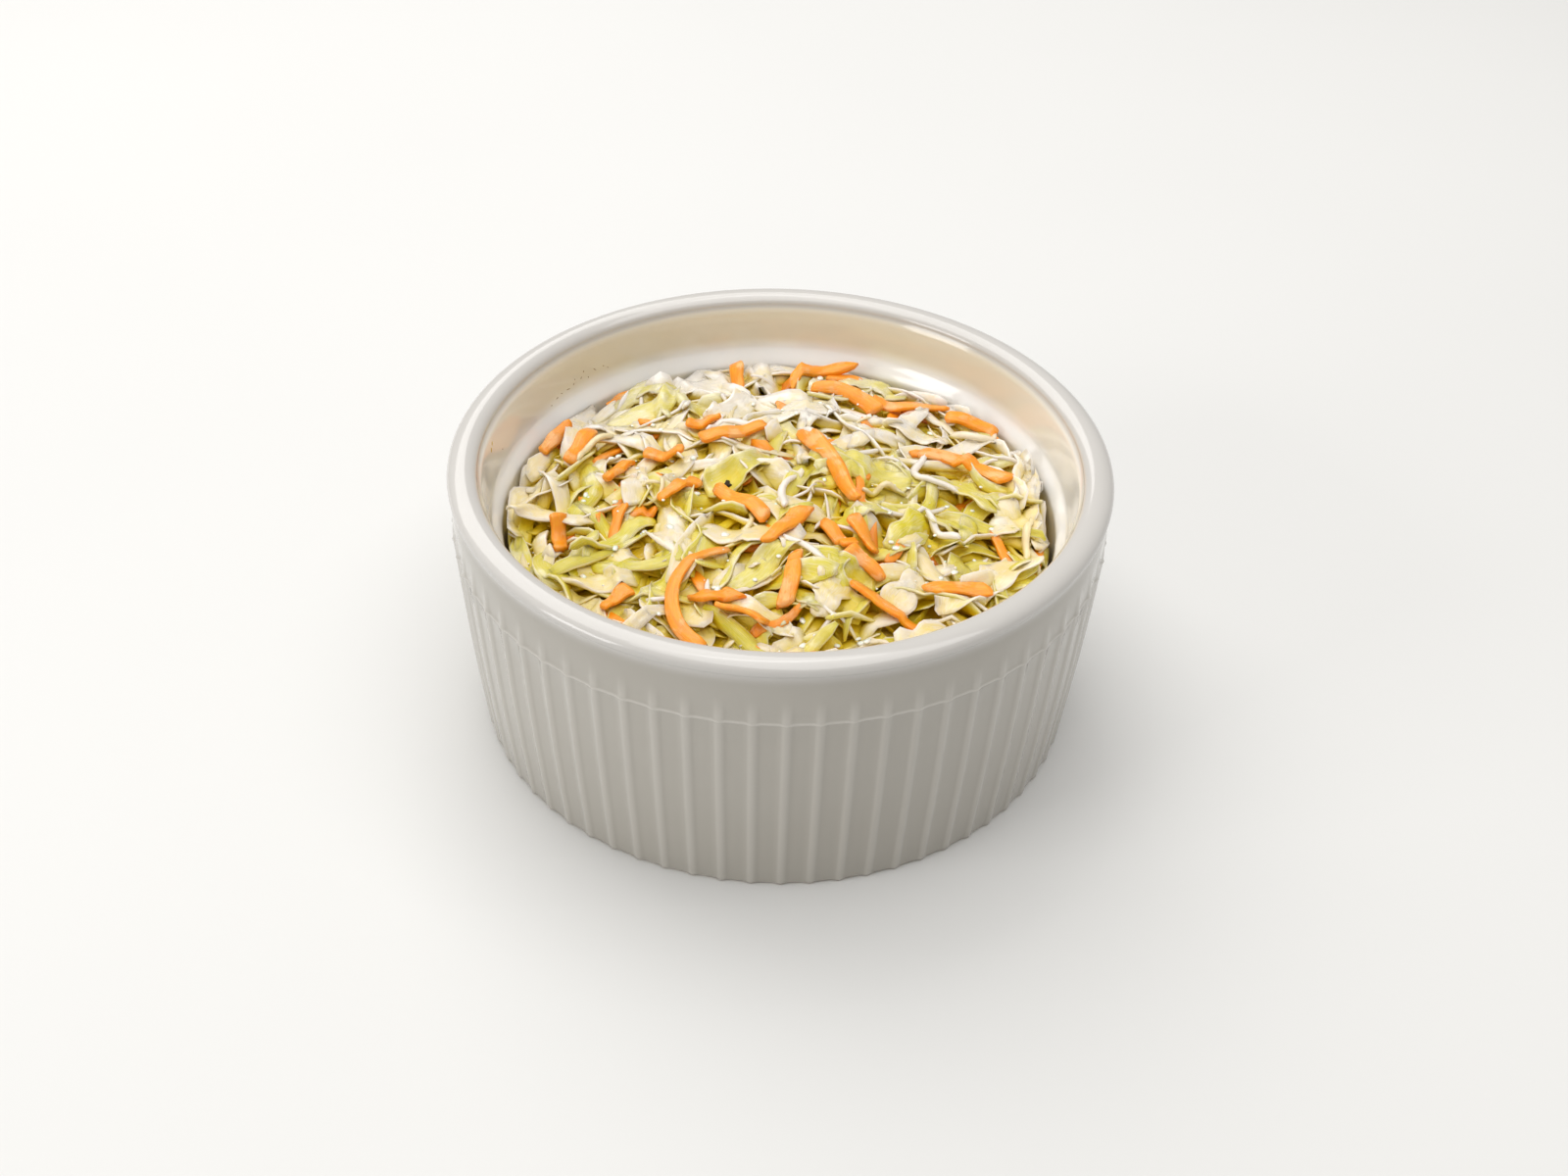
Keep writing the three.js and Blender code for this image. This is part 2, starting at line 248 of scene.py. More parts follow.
dish = draw_section()
bpy.ops.mesh.select_all(action="SELECT")
bpy.ops.mesh.spin(steps=COLUMNS, angle=-pitch, center=(0, 0, 0), axis=(0, 0, 1))
for column in range(COLUMNS + 1):
    depth = RIB_DEPTH * (1 - ridge(column))
    if depth > 0:
        push_in(column, -1, LINE_HEIGHT + WALL_END, depth)
        for low, high, keep in fade_rows:
            push_in(column, LINE_HEIGHT + low, LINE_HEIGHT + high, keep * depth)
bpy.ops.object.mode_set(mode="OBJECT")
count_faces(dish)

# %% [markdown]
# Round the dish. The flute is repeated 68 times by an Array modifier that turns each copy by one
# pitch, as a potter's mould would be cut. The copies are then merged along their edges, which
# also closes the two poles, and the normals are made to point outwards.

# %% The whole dish
def repeat_round(piece, count):
    """Repeats a piece round the Z axis and merges the copies into one closed skin."""
    turn = bpy.data.objects.new("turn", None)
    bpy.context.scene.collection.objects.link(turn)
    turn.rotation_euler.z = 2 * math.pi / count
    bpy.context.view_layer.update()
    settings = {"count": count, "use_relative_offset": False, "use_object_offset": True}
    apply_modifier(piece, "ARRAY", offset_object=turn, **settings)
    bpy.data.objects.remove(turn)
    bpy.ops.object.mode_set(mode="EDIT")
    bpy.ops.mesh.select_all(action="SELECT")
    bpy.ops.mesh.remove_doubles(threshold=0.04 * MM)
    bpy.ops.mesh.normals_make_consistent(inside=False)
    bpy.ops.object.mode_set(mode="OBJECT")


def open_edges(piece):
    """How many edges don't have exactly two faces, and the volume in cubic millimetres."""
    shape = bmesh.new()
    shape.from_mesh(piece.data)
    found = sum(1 for edge in shape.edges if len(edge.link_faces) != 2)
    volume = shape.calc_volume(signed=True) / MM**3
    shape.free()
    return found, round(volume)


repeat_round(dish, RIB_COUNT)
dish.name = "dish"
bpy.ops.object.shade_smooth()
count_faces(dish)
print("open edges and volume in cubic mm:", open_edges(dish))

# %% [markdown]
# The heap's core. Real slaw is shreds all the way down, but only its top shows. A core fills the
# dish and stands in for what is hidden: a disc extruded up along the lower wall, then inset
# ring by ring towards the middle, each ring raised to the dome's height. Two Displace modifiers
# then give it the lumps of dressed shreds that are too small to lay one by one.

# %% The core of the heap
HEAP_TOP = 38.2
HEAP_DROP = 5.7
HEAP_EDGE = 0.84
EDGE_DROP = 25
HEAP_LUMP = 0.35
LUMP_WIDTHS = (6.1, 5.3, 3.7, 4.6)
CORE_DEPTH = 2.6
CORE_SIDES = 96
DOME_RADIUS = 42.2
DOME_FOOT = 29
SLAW_RADIUS = 43.1
core_walls = [(36.8, 5.0), (40.4, 6.1), (41.3, 8.4), (42.2, 20), (SLAW_RADIUS - 0.4, 28.6)]
core_rings = [42, 40.5, 37.5, 33, 28, 22, 16, 10, 5]


def dome_height(radius):
    """Height of the smooth dome at a distance from the axis, in millimetres."""
    share = radius / LEDGE[0]
    return HEAP_TOP - HEAP_DROP * share**2 - EDGE_DROP * np.maximum(0, share - HEAP_EDGE) ** 2


def heap_height(x, y):
    """Height of the lumpy dome under the shreds, in millimetres, for numbers or arrays."""
    wide_x, wide_y, fine_x, fine_y = LUMP_WIDTHS
    lumps = np.sin(x / wide_x) * np.cos(y / wide_y) + np.sin(x / fine_x - y / fine_y)
    return dome_height(np.hypot(x, y)) + HEAP_LUMP * lumps


def extrude_ring(radius, height, before):
    """Extrudes the selected face to a ring of this radius and height."""
    old_radius, old_height = before
    bpy.ops.mesh.extrude_region_move(
        TRANSFORM_OT_translate={"value": (0, 0, (height - old_height) * MM)}
    )
    grow = radius / old_radius
    bpy.ops.transform.resize(value=(grow, grow, 1), center_override=(0, 0, 0))
    return radius, height


def make_core():
    """The solid core, with a smooth dome."""
    start_fresh()
    radius, height = core_walls[0]
    bpy.ops.mesh.primitive_circle_add(
        vertices=CORE_SIDES, radius=radius * MM, fill_type="NGON", location=(0, 0, height * MM)
    )
    piece = bpy.context.object
    bpy.ops.object.transform_apply(location=True)
    bpy.ops.object.mode_set(mode="EDIT")
    bpy.ops.mesh.select_all(action="SELECT")
    here = (radius, height)
    for radius, height in core_walls[1:]:
        here = extrude_ring(radius, height, here)
    for radius in core_rings:
        here = extrude_ring(radius, dome_height(radius) - CORE_DEPTH, here)
    bpy.ops.mesh.poke()
    bpy.ops.mesh.select_all(action="SELECT")
    bpy.ops.mesh.normals_make_consistent(inside=False)
    bpy.ops.object.mode_set(mode="OBJECT")
    return piece


def on_dome(place):
    """Whether a point of the core lies on its dome, clear of the wall."""
    return math.hypot(place.x, place.y) < DOME_RADIUS * MM and place.z > DOME_FOOT * MM


def add_lumps(piece, name, size, depth):
    """Pushes the top of the core in and out by a cloud pattern of this size."""
    clouds = bpy.data.textures.new(name, "CLOUDS")
    clouds.noise_scale = size * MM
    clouds.noise_depth = 1
    group = piece.vertex_groups.get("top") or piece.vertex_groups.new(name="top")
    top = [point.index for point in piece.data.vertices if on_dome(point.co)]
    group.add(top, 1, "REPLACE")
    apply_modifier(piece, "DISPLACE", texture=clouds, strength=depth * MM, vertex_group="top")


core = make_core()
core.name = "slaw_core"
apply_modifier(core, "SUBSURF", levels=2, render_levels=2, subdivision_type="SIMPLE")
add_lumps(core, "wide_lumps", 4.5, 2.4)
add_lumps(core, "fine_lumps", 1.6, 1.1)
take(core)
bpy.ops.object.shade_smooth()
count_faces(core)
print("open edges and volume in cubic mm:", open_edges(core))

# %% [markdown]
# How shreds are laid. Dropping a thousand shreds with a physics simulation would take minutes and
# end differently with each small change. Instead a height map of the heap is kept on a square
# grid. Each shred is bent along its own curve in plan, rests on the heights under it, and then
# raises the map where it lies, so the next one lies on top. That gives real overlaps, gaps and
# shadows in a second or two, and the same heap each time.

# %% The height map
CELL = 0.35
GRID_HALF = 46.0
WALL_MARGIN = 3.4
CORE_LUMPS = 0.4
FINER_ALONG = 5
FINER_ACROSS = 3
grid_count = int(2 * GRID_HALF / CELL)
grid_line = (np.arange(grid_count) + 0.5) * CELL - GRID_HALF
grid_x, grid_y = np.meshgrid(grid_line, grid_line, indexing="ij")
top_map = heap_height(grid_x, grid_y) - CORE_DEPTH + CORE_LUMPS
rng = np.random.default_rng(7)


def cell_of(values):
    """Grid index of each coordinate, kept on the map."""
    return np.clip(((values + GRID_HALF) / CELL).astype(int), 0, grid_count - 1)


def map_height(x, y):
    """Height of the heap so far at these places."""
    return top_map[cell_of(x), cell_of(y)]


def denser(points, times):
    """Adds points between the first axis's rows, so that there are this many times as many."""
    steps = np.linspace(0, len(points) - 1, (len(points) - 1) * times + 1)
    row = np.minimum(steps.astype(int), len(points) - 2)
    share = (steps - row)[:, None, None]
    return (1 - share) * points[row] + share * points[row + 1]


def raise_map(rings):
    """Raises the map to a shred's skin, given as rings of points."""
    skin = denser(denser(rings, FINER_ALONG).swapaxes(0, 1), FINER_ACROSS)
    x, y, z = skin.reshape(-1, 3).T
    np.maximum.at(top_map, (cell_of(x), cell_of(y)), z)


def keep_inside(x, y, reach):
    """Bends plan points that would pass the wall round along it."""
    far = np.hypot(x, y)
    start = reach - WALL_MARGIN
    near = start + WALL_MARGIN * np.tanh(np.maximum(0, far - start) / WALL_MARGIN)
    scale = np.where(far > start, near / np.maximum(far, 1e-6), 1)
    return x * scale, y * scale


def plan_curve(x, y, turn, length, bend, sway, count):
    """Points along a shred seen from above: bent one way, and swaying to and fro."""
    share = np.linspace(-0.5, 0.5, count)
    direction = np.radians(turn + bend * share + sway * np.sin(2 * math.pi * share))
    step = length / (count - 1)
    midway = 0.5 * (direction[1:] + direction[:-1])
    along_x = np.concatenate([[0], np.cumsum(np.cos(midway)) * step])
    along_y = np.concatenate([[0], np.cumsum(np.sin(midway)) * step])
    return share, along_x + x - along_x.mean(), along_y + y - along_y.mean()


def wavy(count, depth):
    """A smooth random wave along a shred, between 1 - depth and 1 + depth."""
    turns = rng.uniform(7, 15)
    return 1 + depth * np.sin(turns * np.linspace(0, 1, count) + rng.uniform(0, 2 * math.pi))


print(f"the map has {grid_count} by {grid_count} cells")

# %% [markdown]
# One shred. Every shred is a closed tube: a section of a few points carried along the curve. A
# flat section with thin edges makes a bit of leaf, a small oval makes a white thread, and a flat
# block with chamfers makes a carrot shred. Roll and twist turn the section on its way, so a leaf
# shows its face at one end and its edge at the other.

# %% Sections of shreds
def leaf_section(columns):
    """Upper points from edge to edge, then lower ones back: thin at the edges."""
    across = np.linspace(-1, 1, columns)
    swell = 0.4 + 0.6 * np.sqrt(1 - across**2 * 0.98)
    upper = np.stack([across, swell], axis=1)
    lower = np.stack([across[::-1], -swell], axis=1)
    return np.concatenate([upper, lower])


def round_section(points):
    """An oval, as wide and as thick as the shred."""
    angle = math.pi - (np.arange(points) + 0.5) * 2 * math.pi / points
    return np.stack([np.cos(angle), np.sin(angle)], axis=1)


def block_section():
    """A block with narrow chamfers, as a grater's hole cuts it."""
    corners = [(-1, 0.5), (-0.82, 1), (0.82, 1), (1, 0.5)]
    return np.array(corners + [(across, -up) for across, up in reversed(corners)])


sections = {"leaf bit": leaf_section(4), "white shred": round_section(6), "carrot": block_section()}
print("points round one:", {name: len(points) for name, points in sections.items()})

# %% [markdown]
# Many shreds, one mesh. Each shred as an object of its own would make a slow scene, so the points
# of all shreds of a kind are collected as arrays and made one mesh piece at the end. For the
# finishes each point also keeps where it lies along and across the shred, the shred's own tint,
# and a depth: how far it lies under the smoothed top of the heap, and a little more where its skin
# is turned away from above. The finishes paint shade with that depth, in darker, warmer tones.

# %% Collecting shreds
FULL_DEPTH = 1.9
CLEAR_DEPTH = -0.7
SMOOTH_PASSES = 30
TURNED_SHARE = 0.25


class Shreds:
    """Collects shreds of one kind, which all have the same section and number of rings."""

    def __init__(self, name, section, rings):
        self.name = name
        self.section = section
        self.rings = rings
        self.points = []
        self.facts = []

    def add(self, centre, side, up, half_left, half_right, half_thick, cup, crinkle, tint):
        """One shred: its rings of section points round the centre line."""
        across = self.section[:, 0]
        rise = self.section[:, 1]
        half = np.where(across < 0, half_left[:, None], half_right[:, None])
        lift = rise * half_thick[:, None] + cup[:, None] * across**2
        # Pleats are a wave along the shred times one across it, and each tint shifts them
        wave_along = np.sin(1.25 * np.arange(self.rings) + 9 * tint)[:, None]
        lift = lift + crinkle * wave_along * np.sin(6 * across + 20 * tint)
        points = centre[:, None] + side[:, None] * (across * half)[..., None]
        points = points + up[:, None] * lift[..., None]
        along = np.linspace(0, 1, self.rings)[:, None] * np.ones(len(across))
        facts = [along, np.ones((self.rings, 1)) * across, np.full(along.shape, tint)]
        self.points.append(points.reshape(-1, 3))
        self.facts.append(np.stack(facts, axis=-1).reshape(-1, 3))
        return points

    def faces(self):
        """Quads of one shred: round each step, and across both ends."""
        count = len(self.section)
        quads = []
        for ring in range(self.rings - 1):
            for j in range(count):
                a = ring * count + j
                b = ring * count + (j + 1) % count
                quads.append((a, a + count, b + count, b))
        last = (self.rings - 1) * count
        for j in range(count // 2 - 1):
            quads.append((j, j + 1, count - 2 - j, count - 1 - j))
            quads.append((last + count - 1 - j, last + count - 2 - j, last + j + 1, last + j))
        return np.array(quads)

    def build(self):
        """All the shreds as one mesh piece."""
        starts = np.arange(len(self.points)) * self.rings * len(self.section)
        quads = (self.faces()[None] + starts[:, None, None]).reshape(-1, 4)
        points = np.concatenate(self.points)
        return mesh_from_arrays(self.name, points, quads, np.concatenate(self.facts))


def depth_under_top(points):
    """How deep each point lies under the smoothed top of the heap: 0 near it, 1 far down."""
    smooth = top_map
    for _ in range(SMOOTH_PASSES):
        padded = np.pad(smooth, 1, mode="edge")
        smooth = (padded[:-2, 1:-1] + padded[2:, 1:-1] + padded[1:-1, :-2] + padded[1:-1, 2:]) / 4
    level = smooth[cell_of(points[:, 0]), cell_of(points[:, 1])]
    return np.clip((level - points[:, 2] - CLEAR_DEPTH) / (FULL_DEPTH - CLEAR_DEPTH), 0, 1)


def mesh_from_arrays(name, points, quads, facts):
    """A mesh piece from points in millimetres, quads and one vector fact per point."""
    mesh = bpy.data.meshes.new(name)
    mesh.from_pydata((points * MM).tolist(), [], quads.tolist())
    attribute = mesh.attributes.new("shred", "FLOAT_VECTOR", "POINT")
    attribute.data.foreach_set("vector", facts.astype(np.float32).ravel())
    normals = np.empty(3 * len(points), dtype=np.float32)
    mesh.vertex_normals.foreach_get("vector", normals)
    # The depth is a mask of painted shade: deep points, and skin turned from above, get darker, warmer tones.
    turned = 1 - np.clip(normals[2::3], 0, 1)
    depths = np.clip(depth_under_top(points) + TURNED_SHARE * turned, 0, 1)
    depth = mesh.attributes.new("depth", "FLOAT", "POINT")
    depth.data.foreach_set("value", depths.astype(np.float32))
    mesh.polygons.foreach_set("use_smooth", np.ones(len(mesh.polygons), dtype=bool))
    mesh.validate()
    piece = bpy.data.objects.new(name, mesh)
    bpy.context.scene.collection.objects.link(piece)
    return piece


# %% [markdown]
# Laying one shred. The heights under the curve are smoothed, because a shred is stiff and spans
# small gaps, but it beds only a little into what rises under it. Its ends dip, since they are
# tucked under others, and it may rise towards one end. What would stand too high over the dome is
# pressed softly down, and nothing leaves the room that the heap has.

# %% Laying a shred on the heap
STIFFNESS = 0.03
FREE_RISE = 1.9
SOFT_RISE = 0.8
WALL_CALM = 38.5
ROOM_TOP = 40.8
BEDDING = 0.4
LOWER_AT_WALL = 0.25
ROLL_LIFT = 0.35
FEELERS = (-0.7, 0, 0.7)


def press_down(z, free):
    """Presses what stands above the free height softly down."""
    over = np.maximum(0, z - free)
    return np.minimum(z, free) + SOFT_RISE * np.tanh(over / SOFT_RISE)


def free_height(x, y):
    """How high the middle of a shred may lie: a little above the dome, and less near the wall."""
    near_wall = np.clip((np.hypot(x, y) - WALL_CALM) / (SLAW_RADIUS - WALL_CALM), 0, 1)
    return heap_height(x, y) + FREE_RISE * (1 - LOWER_AT_WALL * near_wall)


def rest_height(x, y, direction, half, sink):
    """Height of a stiff shred's underside on what lies below it."""
    levels = []
    for across in FEELERS:
        offset = across * half
        levels.append(map_height(x - offset * np.sin(direction), y + offset * np.cos(direction)))
    level = 0.5 * np.mean(levels, axis=0) + 0.5 * np.max(levels, axis=0) - sink
    straight = level
    for _ in range(round(STIFFNESS * len(x) ** 2)):
        padded = np.pad(straight, 1, mode="edge")
        straight = 0.25 * padded[:-2] + 0.5 * padded[1:-1] + 0.25 * padded[2:]
    return np.maximum(straight, level - BEDDING)


def lay(kind, row, form):
    """Lays one shred. row is x, y, direction, length, bend and rise; form its own shape."""
    x, y, turn, length, bend, rise = row
    share, along_x, along_y = plan_curve(x, y, turn, length, bend, form["sway"], kind.rings)
    half = form["width"] / 2
    along_x, along_y = keep_inside(along_x, along_y, SLAW_RADIUS - 0.5 * min(half, 1))
    direction = np.arctan2(np.gradient(along_y), np.gradient(along_x))
    level = rest_height(along_x, along_y, direction, half, form["sink"])
    roll = np.radians(form["roll"] + form["twist"] * share)
    level = level + ROLL_LIFT * half * np.abs(np.sin(roll)) + form["thick"] / 2
    level = level - form["dip"] * (2 * share) ** 2 + rise * share
    level = level + form["wave"] * np.sin(form["turns"] * share + form["phase"])
    level = press_down(level, free_height(along_x, along_y) + form["over"])
    centre = np.stack([along_x, along_y, level], axis=1)
    tangent = np.gradient(centre, axis=0)
    tangent /= np.linalg.norm(tangent, axis=1, keepdims=True)
    flat = np.stack([-np.sin(direction), np.cos(direction), 0 * direction], axis=1)
    upright = np.cross(tangent, flat)
    upright /= np.linalg.norm(upright, axis=1, keepdims=True)
    cos, sin = np.cos(roll)[:, None], np.sin(roll)[:, None]
    side = cos * flat + sin * upright
    up = cos * upright - sin * flat
    end = (1 - np.abs(2 * share) ** form["blunt"]) ** 0.5
    taper = (form["tip"] + (1 - form["tip"]) * end) * (1 + form["flare"] * 2 * share)
    left_edge = half * taper * wavy(kind.rings, form["ragged"])
    right_edge = half * taper * wavy(kind.rings, form["ragged"])
    points = kind.add(
        centre,
        side + form["skew"] * tangent,
        up,
        left_edge,
        right_edge,
        form["thick"] / 2 * (0.5 + 0.5 * taper),
        form["cup"] * half * taper + form["ruffle"] * np.sin(9 * share + form["phase"]),
        form["crinkle"],
        form["tint"],
    )
    inside = np.hypot(points[..., 0], points[..., 1])
    over = inside > SLAW_RADIUS
    points[over, :2] *= (SLAW_RADIUS / inside[over])[:, None]
    points[..., 2] = press_down(points[..., 2], ROOM_TOP)
    kind.points[-1] = points.reshape(-1, 3)
    raise_map(points)


for count in (10, 20):
    print(f"heights under {count} points are smoothed {round(STIFFNESS * count**2)} times")

# %% [markdown]
# The kinds of shred. A knife cuts leaves into bits and strips, their white ribs fall into thin
# shreds, and a grater cuts the carrot. A form says how one shred is shaped, in millimetres and
# degrees: how wide and thick it is, how deep it sinks, its roll, twist, dip, wave and sway, how
# blunt or thin it ends, how ragged, skewed and flared it is, its cup, ruffle and crinkle, and how
# far over the dome it may lie. Each kind starts as a leaf bit and then changes what sets it apart.

# %% Forms of shreds
def leaf_form(width):
    """A bit of cabbage leaf: thin, cupped, ruffled and tilted."""
    return {
        "width": width,
        "thick": rng.uniform(0.35, 0.6),
        "sink": rng.uniform(0.2, 1.0),
        "roll": rng.normal(0, 20),
        "twist": rng.normal(0, 32),
        "dip": rng.uniform(0.2, 1.2),
        "wave": rng.uniform(0.1, 0.45),
        "turns": rng.uniform(5, 10),
        "phase": rng.uniform(0, 2 * math.pi),
        "blunt": rng.uniform(9, 24),
        "tip": rng.uniform(0.4, 0.8),
        "skew": rng.normal(0, 0.5),
        "ragged": 0.16,
        "flare": rng.uniform(-0.5, 0.5),
        "cup": rng.normal(0.03, 0.22),
        "ruffle": rng.uniform(0, 0.3),
        "crinkle": 0,
        "over": 0,
        "sway": rng.normal(0, 14),
        "tint": rng.uniform(0, 1),
    }


def strip_form(width):
    """A strip of shredded cabbage: cut off square, thicker than a leaf bit, and more twisted."""
    form = leaf_form(width)
    form.update(thick=rng.uniform(0.4, 0.8), roll=rng.normal(0, 30), twist=rng.normal(0, 50))
    form.update(blunt=rng.uniform(9, 24), tip=rng.uniform(0.3, 0.6), sway=rng.normal(0, 24))
    form.update(wave=rng.uniform(0.1, 0.6), sink=rng.uniform(0, 0.6))
    return form


def thread_form(width):
    """A thin white shred, nearly round, that ends thin."""
    form = leaf_form(width)
    form.update(thick=0.75 * width, sink=rng.uniform(-0.1, 0.4), dip=rng.uniform(0.1, 1))
    form.update(blunt=4, tip=0.3, ragged=0.12, flare=rng.uniform(-0.3, 0.3), cup=0, ruffle=0, skew=0)
    form.update(roll=rng.normal(0, 20), twist=0, sway=rng.normal(0, 35), wave=rng.uniform(0.1, 0.7))
    return form


def carrot_form(width):
    """A grated carrot shred: a flat block in section, torn at its sides and ends."""
    form = leaf_form(width)
    form.update(thick=rng.uniform(0.3, 0.42) * width, sink=rng.uniform(-0.1, 0.3), sway=rng.normal(0, 10))
    form.update(blunt=rng.uniform(14, 40), tip=rng.uniform(0.3, 0.7), ragged=0.09, skew=rng.normal(0, 0.8))
    form.update(flare=rng.uniform(-0.35, 0.35), cup=0, ruffle=0.08)
    form.update(dip=rng.uniform(0.1, 0.6), roll=rng.normal(0, 16), twist=rng.normal(0, 30))
    form.update(wave=rng.uniform(0, 0.2))
    return form


# %% [markdown]
# Where the slaw is green. Outer leaves are yellow-green and inner ones nearly cream, and a toss
# never mixes them evenly. A few soft patches say where the green bits lie.

# %% Green patches
green_patches = [(-14, -14, 12), (14, 6, 9), (22, -6, 12), (4, -20, 11), (-33, 2, 6), (33, -12, 9)]
green_patches += [(-22, 30, 5), (14, 34, 5), (-30, -14, 7), (10, -31, 8)]
GREEN_ANYWHERE = 0.2
LESS_AT_BACK = 0.15
BACK_START = 20
PATCH_GREEN = 0.9
GREEN_CHANCE = 0.75


def greenness(x, y):
    """Up to 1 in the middle of a green patch, low elsewhere, and lowest at the back."""
    value = GREEN_ANYWHERE - LESS_AT_BACK * min(max(y / BACK_START, 0), 1)
    for patch_x, patch_y, reach in green_patches:
        value += PATCH_GREEN * math.exp(-((x - patch_x) ** 2 + (y - patch_y) ** 2) / reach**2)
    return min(value, 1)


print(f"{len(green_patches)} green patches; greenness {greenness(0, 0):.2f} in the middle")


# %% [markdown]
# The fill. These shreds make the body of the heap, in an order shuffled by a seeded draw. Each
# slides into a hollow, so it takes the lowest of three places. Near the wall the shreds lie more
# along it, since they can't cross it. Four kinds of shred are made in the same way, so what sets
# them apart is a table.

# %% Fill shreds
pale_leaves = Shreds("pale_leaves", leaf_section(4), 10)
green_leaves = Shreds("green_leaves", leaf_section(4), 10)
threads = Shreds("white_threads", round_section(6), 12)
carrots = Shreds("carrot_shreds", block_section(), 10)
FILL_REACH = 42.5
CHOICES = 3
NEAR_WALL = 36
RIM_START = 38.5
# Length from and to, spread of the bend and of the rise, width from and to, and form
makers = {
    "leaf": (7, 13, 35, 1.6, 3.5, 7, leaf_form),
    "strip": (9, 21, 50, 2.2, 1.5, 3.8, strip_form),
    "thread": (8, 19, 65, 2.2, 0.5, 1.05, thread_form),
    "carrot": (5, 12, 40, 1, 1.4, 2.1, carrot_form),
}
fill_steps = [
    ({"leaf": 120, "strip": 170, "carrot": 30, "thread": 30}, 0),
    ({"strip": 60, "leaf": 20, "carrot": 8, "thread": 20}, RIM_START),
    ({"strip": 200, "leaf": 55, "carrot": 36, "thread": 70}, 0),
]


def random_place(low, high):
    """The lowest of a few places between two radii, and a direction, along the wall near it."""
    radius = np.sqrt(rng.uniform(low**2, high**2, CHOICES))
    angle = rng.uniform(0, 360, CHOICES)
    x, y = radius * np.cos(np.radians(angle)), radius * np.sin(np.radians(angle))
    i = np.argmin(map_height(x, y) - heap_height(x, y))
    free = rng.uniform(0, 360)
    along_wall = angle[i] + 90 + rng.normal(0, 25)
    return float(x[i]), float(y[i]), along_wall if radius[i] > NEAR_WALL else free


def cabbage_for(x, y):
    """The cabbage kind for a place: green or pale."""
    return green_leaves if rng.uniform() < greenness(x, y) * GREEN_CHANCE else pale_leaves


def lay_one(name, low):
    """One shred of the fill, at least this far from the middle."""
    shortest, longest, bend, rise, narrowest, widest, form = makers[name]
    x, y, turn = random_place(low, FILL_REACH)
    row = (x, y, turn, rng.uniform(shortest, longest), rng.normal(0, bend), rng.normal(0, rise))
    kind = {"thread": threads, "carrot": carrots}.get(name) or cabbage_for(x, y)
    lay(kind, row, form(rng.uniform(narrowest, widest)))


def report_rise(stage):
    """Prints how far the heap now rises above its bare dome."""
    here = np.hypot(grid_x, grid_y) < SLAW_RADIUS - 2
    rise = (top_map - heap_height(grid_x, grid_y))[here]
    print(stage, "rise above the dome, low, middle and high:", np.percentile(rise, [5, 50, 95]).round(1))


for counts, low in fill_steps:
    order = [name for name, count in counts.items() for _ in range(count)]
    rng.shuffle(order)
    for name in order:
        lay_one(name, low)
    report_rise(f"{len(order)} fill shreds,")

# %% [markdown]
# The shreds that the eye finds first. They are laid last, each at its own place: middle x and y,
# direction, length, bend and rise, in millimetres and degrees. A leaf's row also gives its width
# and how green it is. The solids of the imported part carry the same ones.

# %% Shreds that show
leaf_rows = [
    (-16, -11, -87, 13, 0, 0, 6, 0.2), (-23, 2, -86, 12, 0, 0, 4, 0.3), (15, 5, -6, 12, 6, 0, 5, 0.9),
    (-6, 4, 35, 14, 12, 0, 5, 0.8), (-6, -12, -16, 12, 0, 0, 6, 0.1), (-3, -20, 48, 11, 0, 1, 4, 0.6),
    (-3, -29, -20, 12, -15, 0, 4, 0.2), (8, -26, 65, 8, -10, 0, 5, 0.3), (9, -20, -23, 12, 0, 0, 4, 0.7),
    (19, -23, 56, 10, 0, 0, 5, 0.1), (20, -10, 48, 9, 0, 0, 5, 0.7), (-27, -21, 10, 11, -5, 0, 5, 0.1),
    (-19, -18, 0, 19, 32, 0, 2, 0.9), (-24, -9, 49, 11, 10, 0, 4, 0.7), (-35, -5, -22, 12, -12, 0, 6, 0.1),
    (-34, 20, 84, 18, 0, 0, 5, 0.1), (-24, 24, 20, 12, 0, 0, 6, 0.6), (-24, 33, -18, 10, -30, 0, 6, 0.8),
    (-14, 33, 17, 11, -40, 0, 6, 0.1), (-3, 35, -16, 10, -30, 1, 7, 0.1), (15, 37, 5, 11, -30, 0, 6, 0.8),
    (15, 19, -60, 9, 0, 0, 5, 0.2), (23, 20, -20, 11, 15, 0, 5, 0.2), (3, 24, 10, 12, 0, 0, 5, 0.1),
    (-8, 26, 60, 10, 20, 0, 5, 0.1), (31, 3, -54, 10, 10, 0, 5, 0.6), (37, -3, 28, 9, 20, 0, 5, 0.3),
    (14, -5, 26, 12, 10, 0, 4, 0.8), (34, -17, 49, 10, 0, 0, 6, 0.3),
]
thread_rows = [
    (1, -2, -100, 11, -5, 1), (24, 7, -64, 16, 9, 0), (16, 1, 24, 7, -9, 0), (-9, 16, 22, 11, -50, 0),
    (5, 14, -56, 8, 9, 0), (-31, 12, 63, 11, -15, 0), (4, -17, -36, 8, 3, 0), (25, -9, -50, 8, -12, 0),
    (33, 20, 14, 12, 50, 0), (39, -6, -99, 10, -19, 0),
]
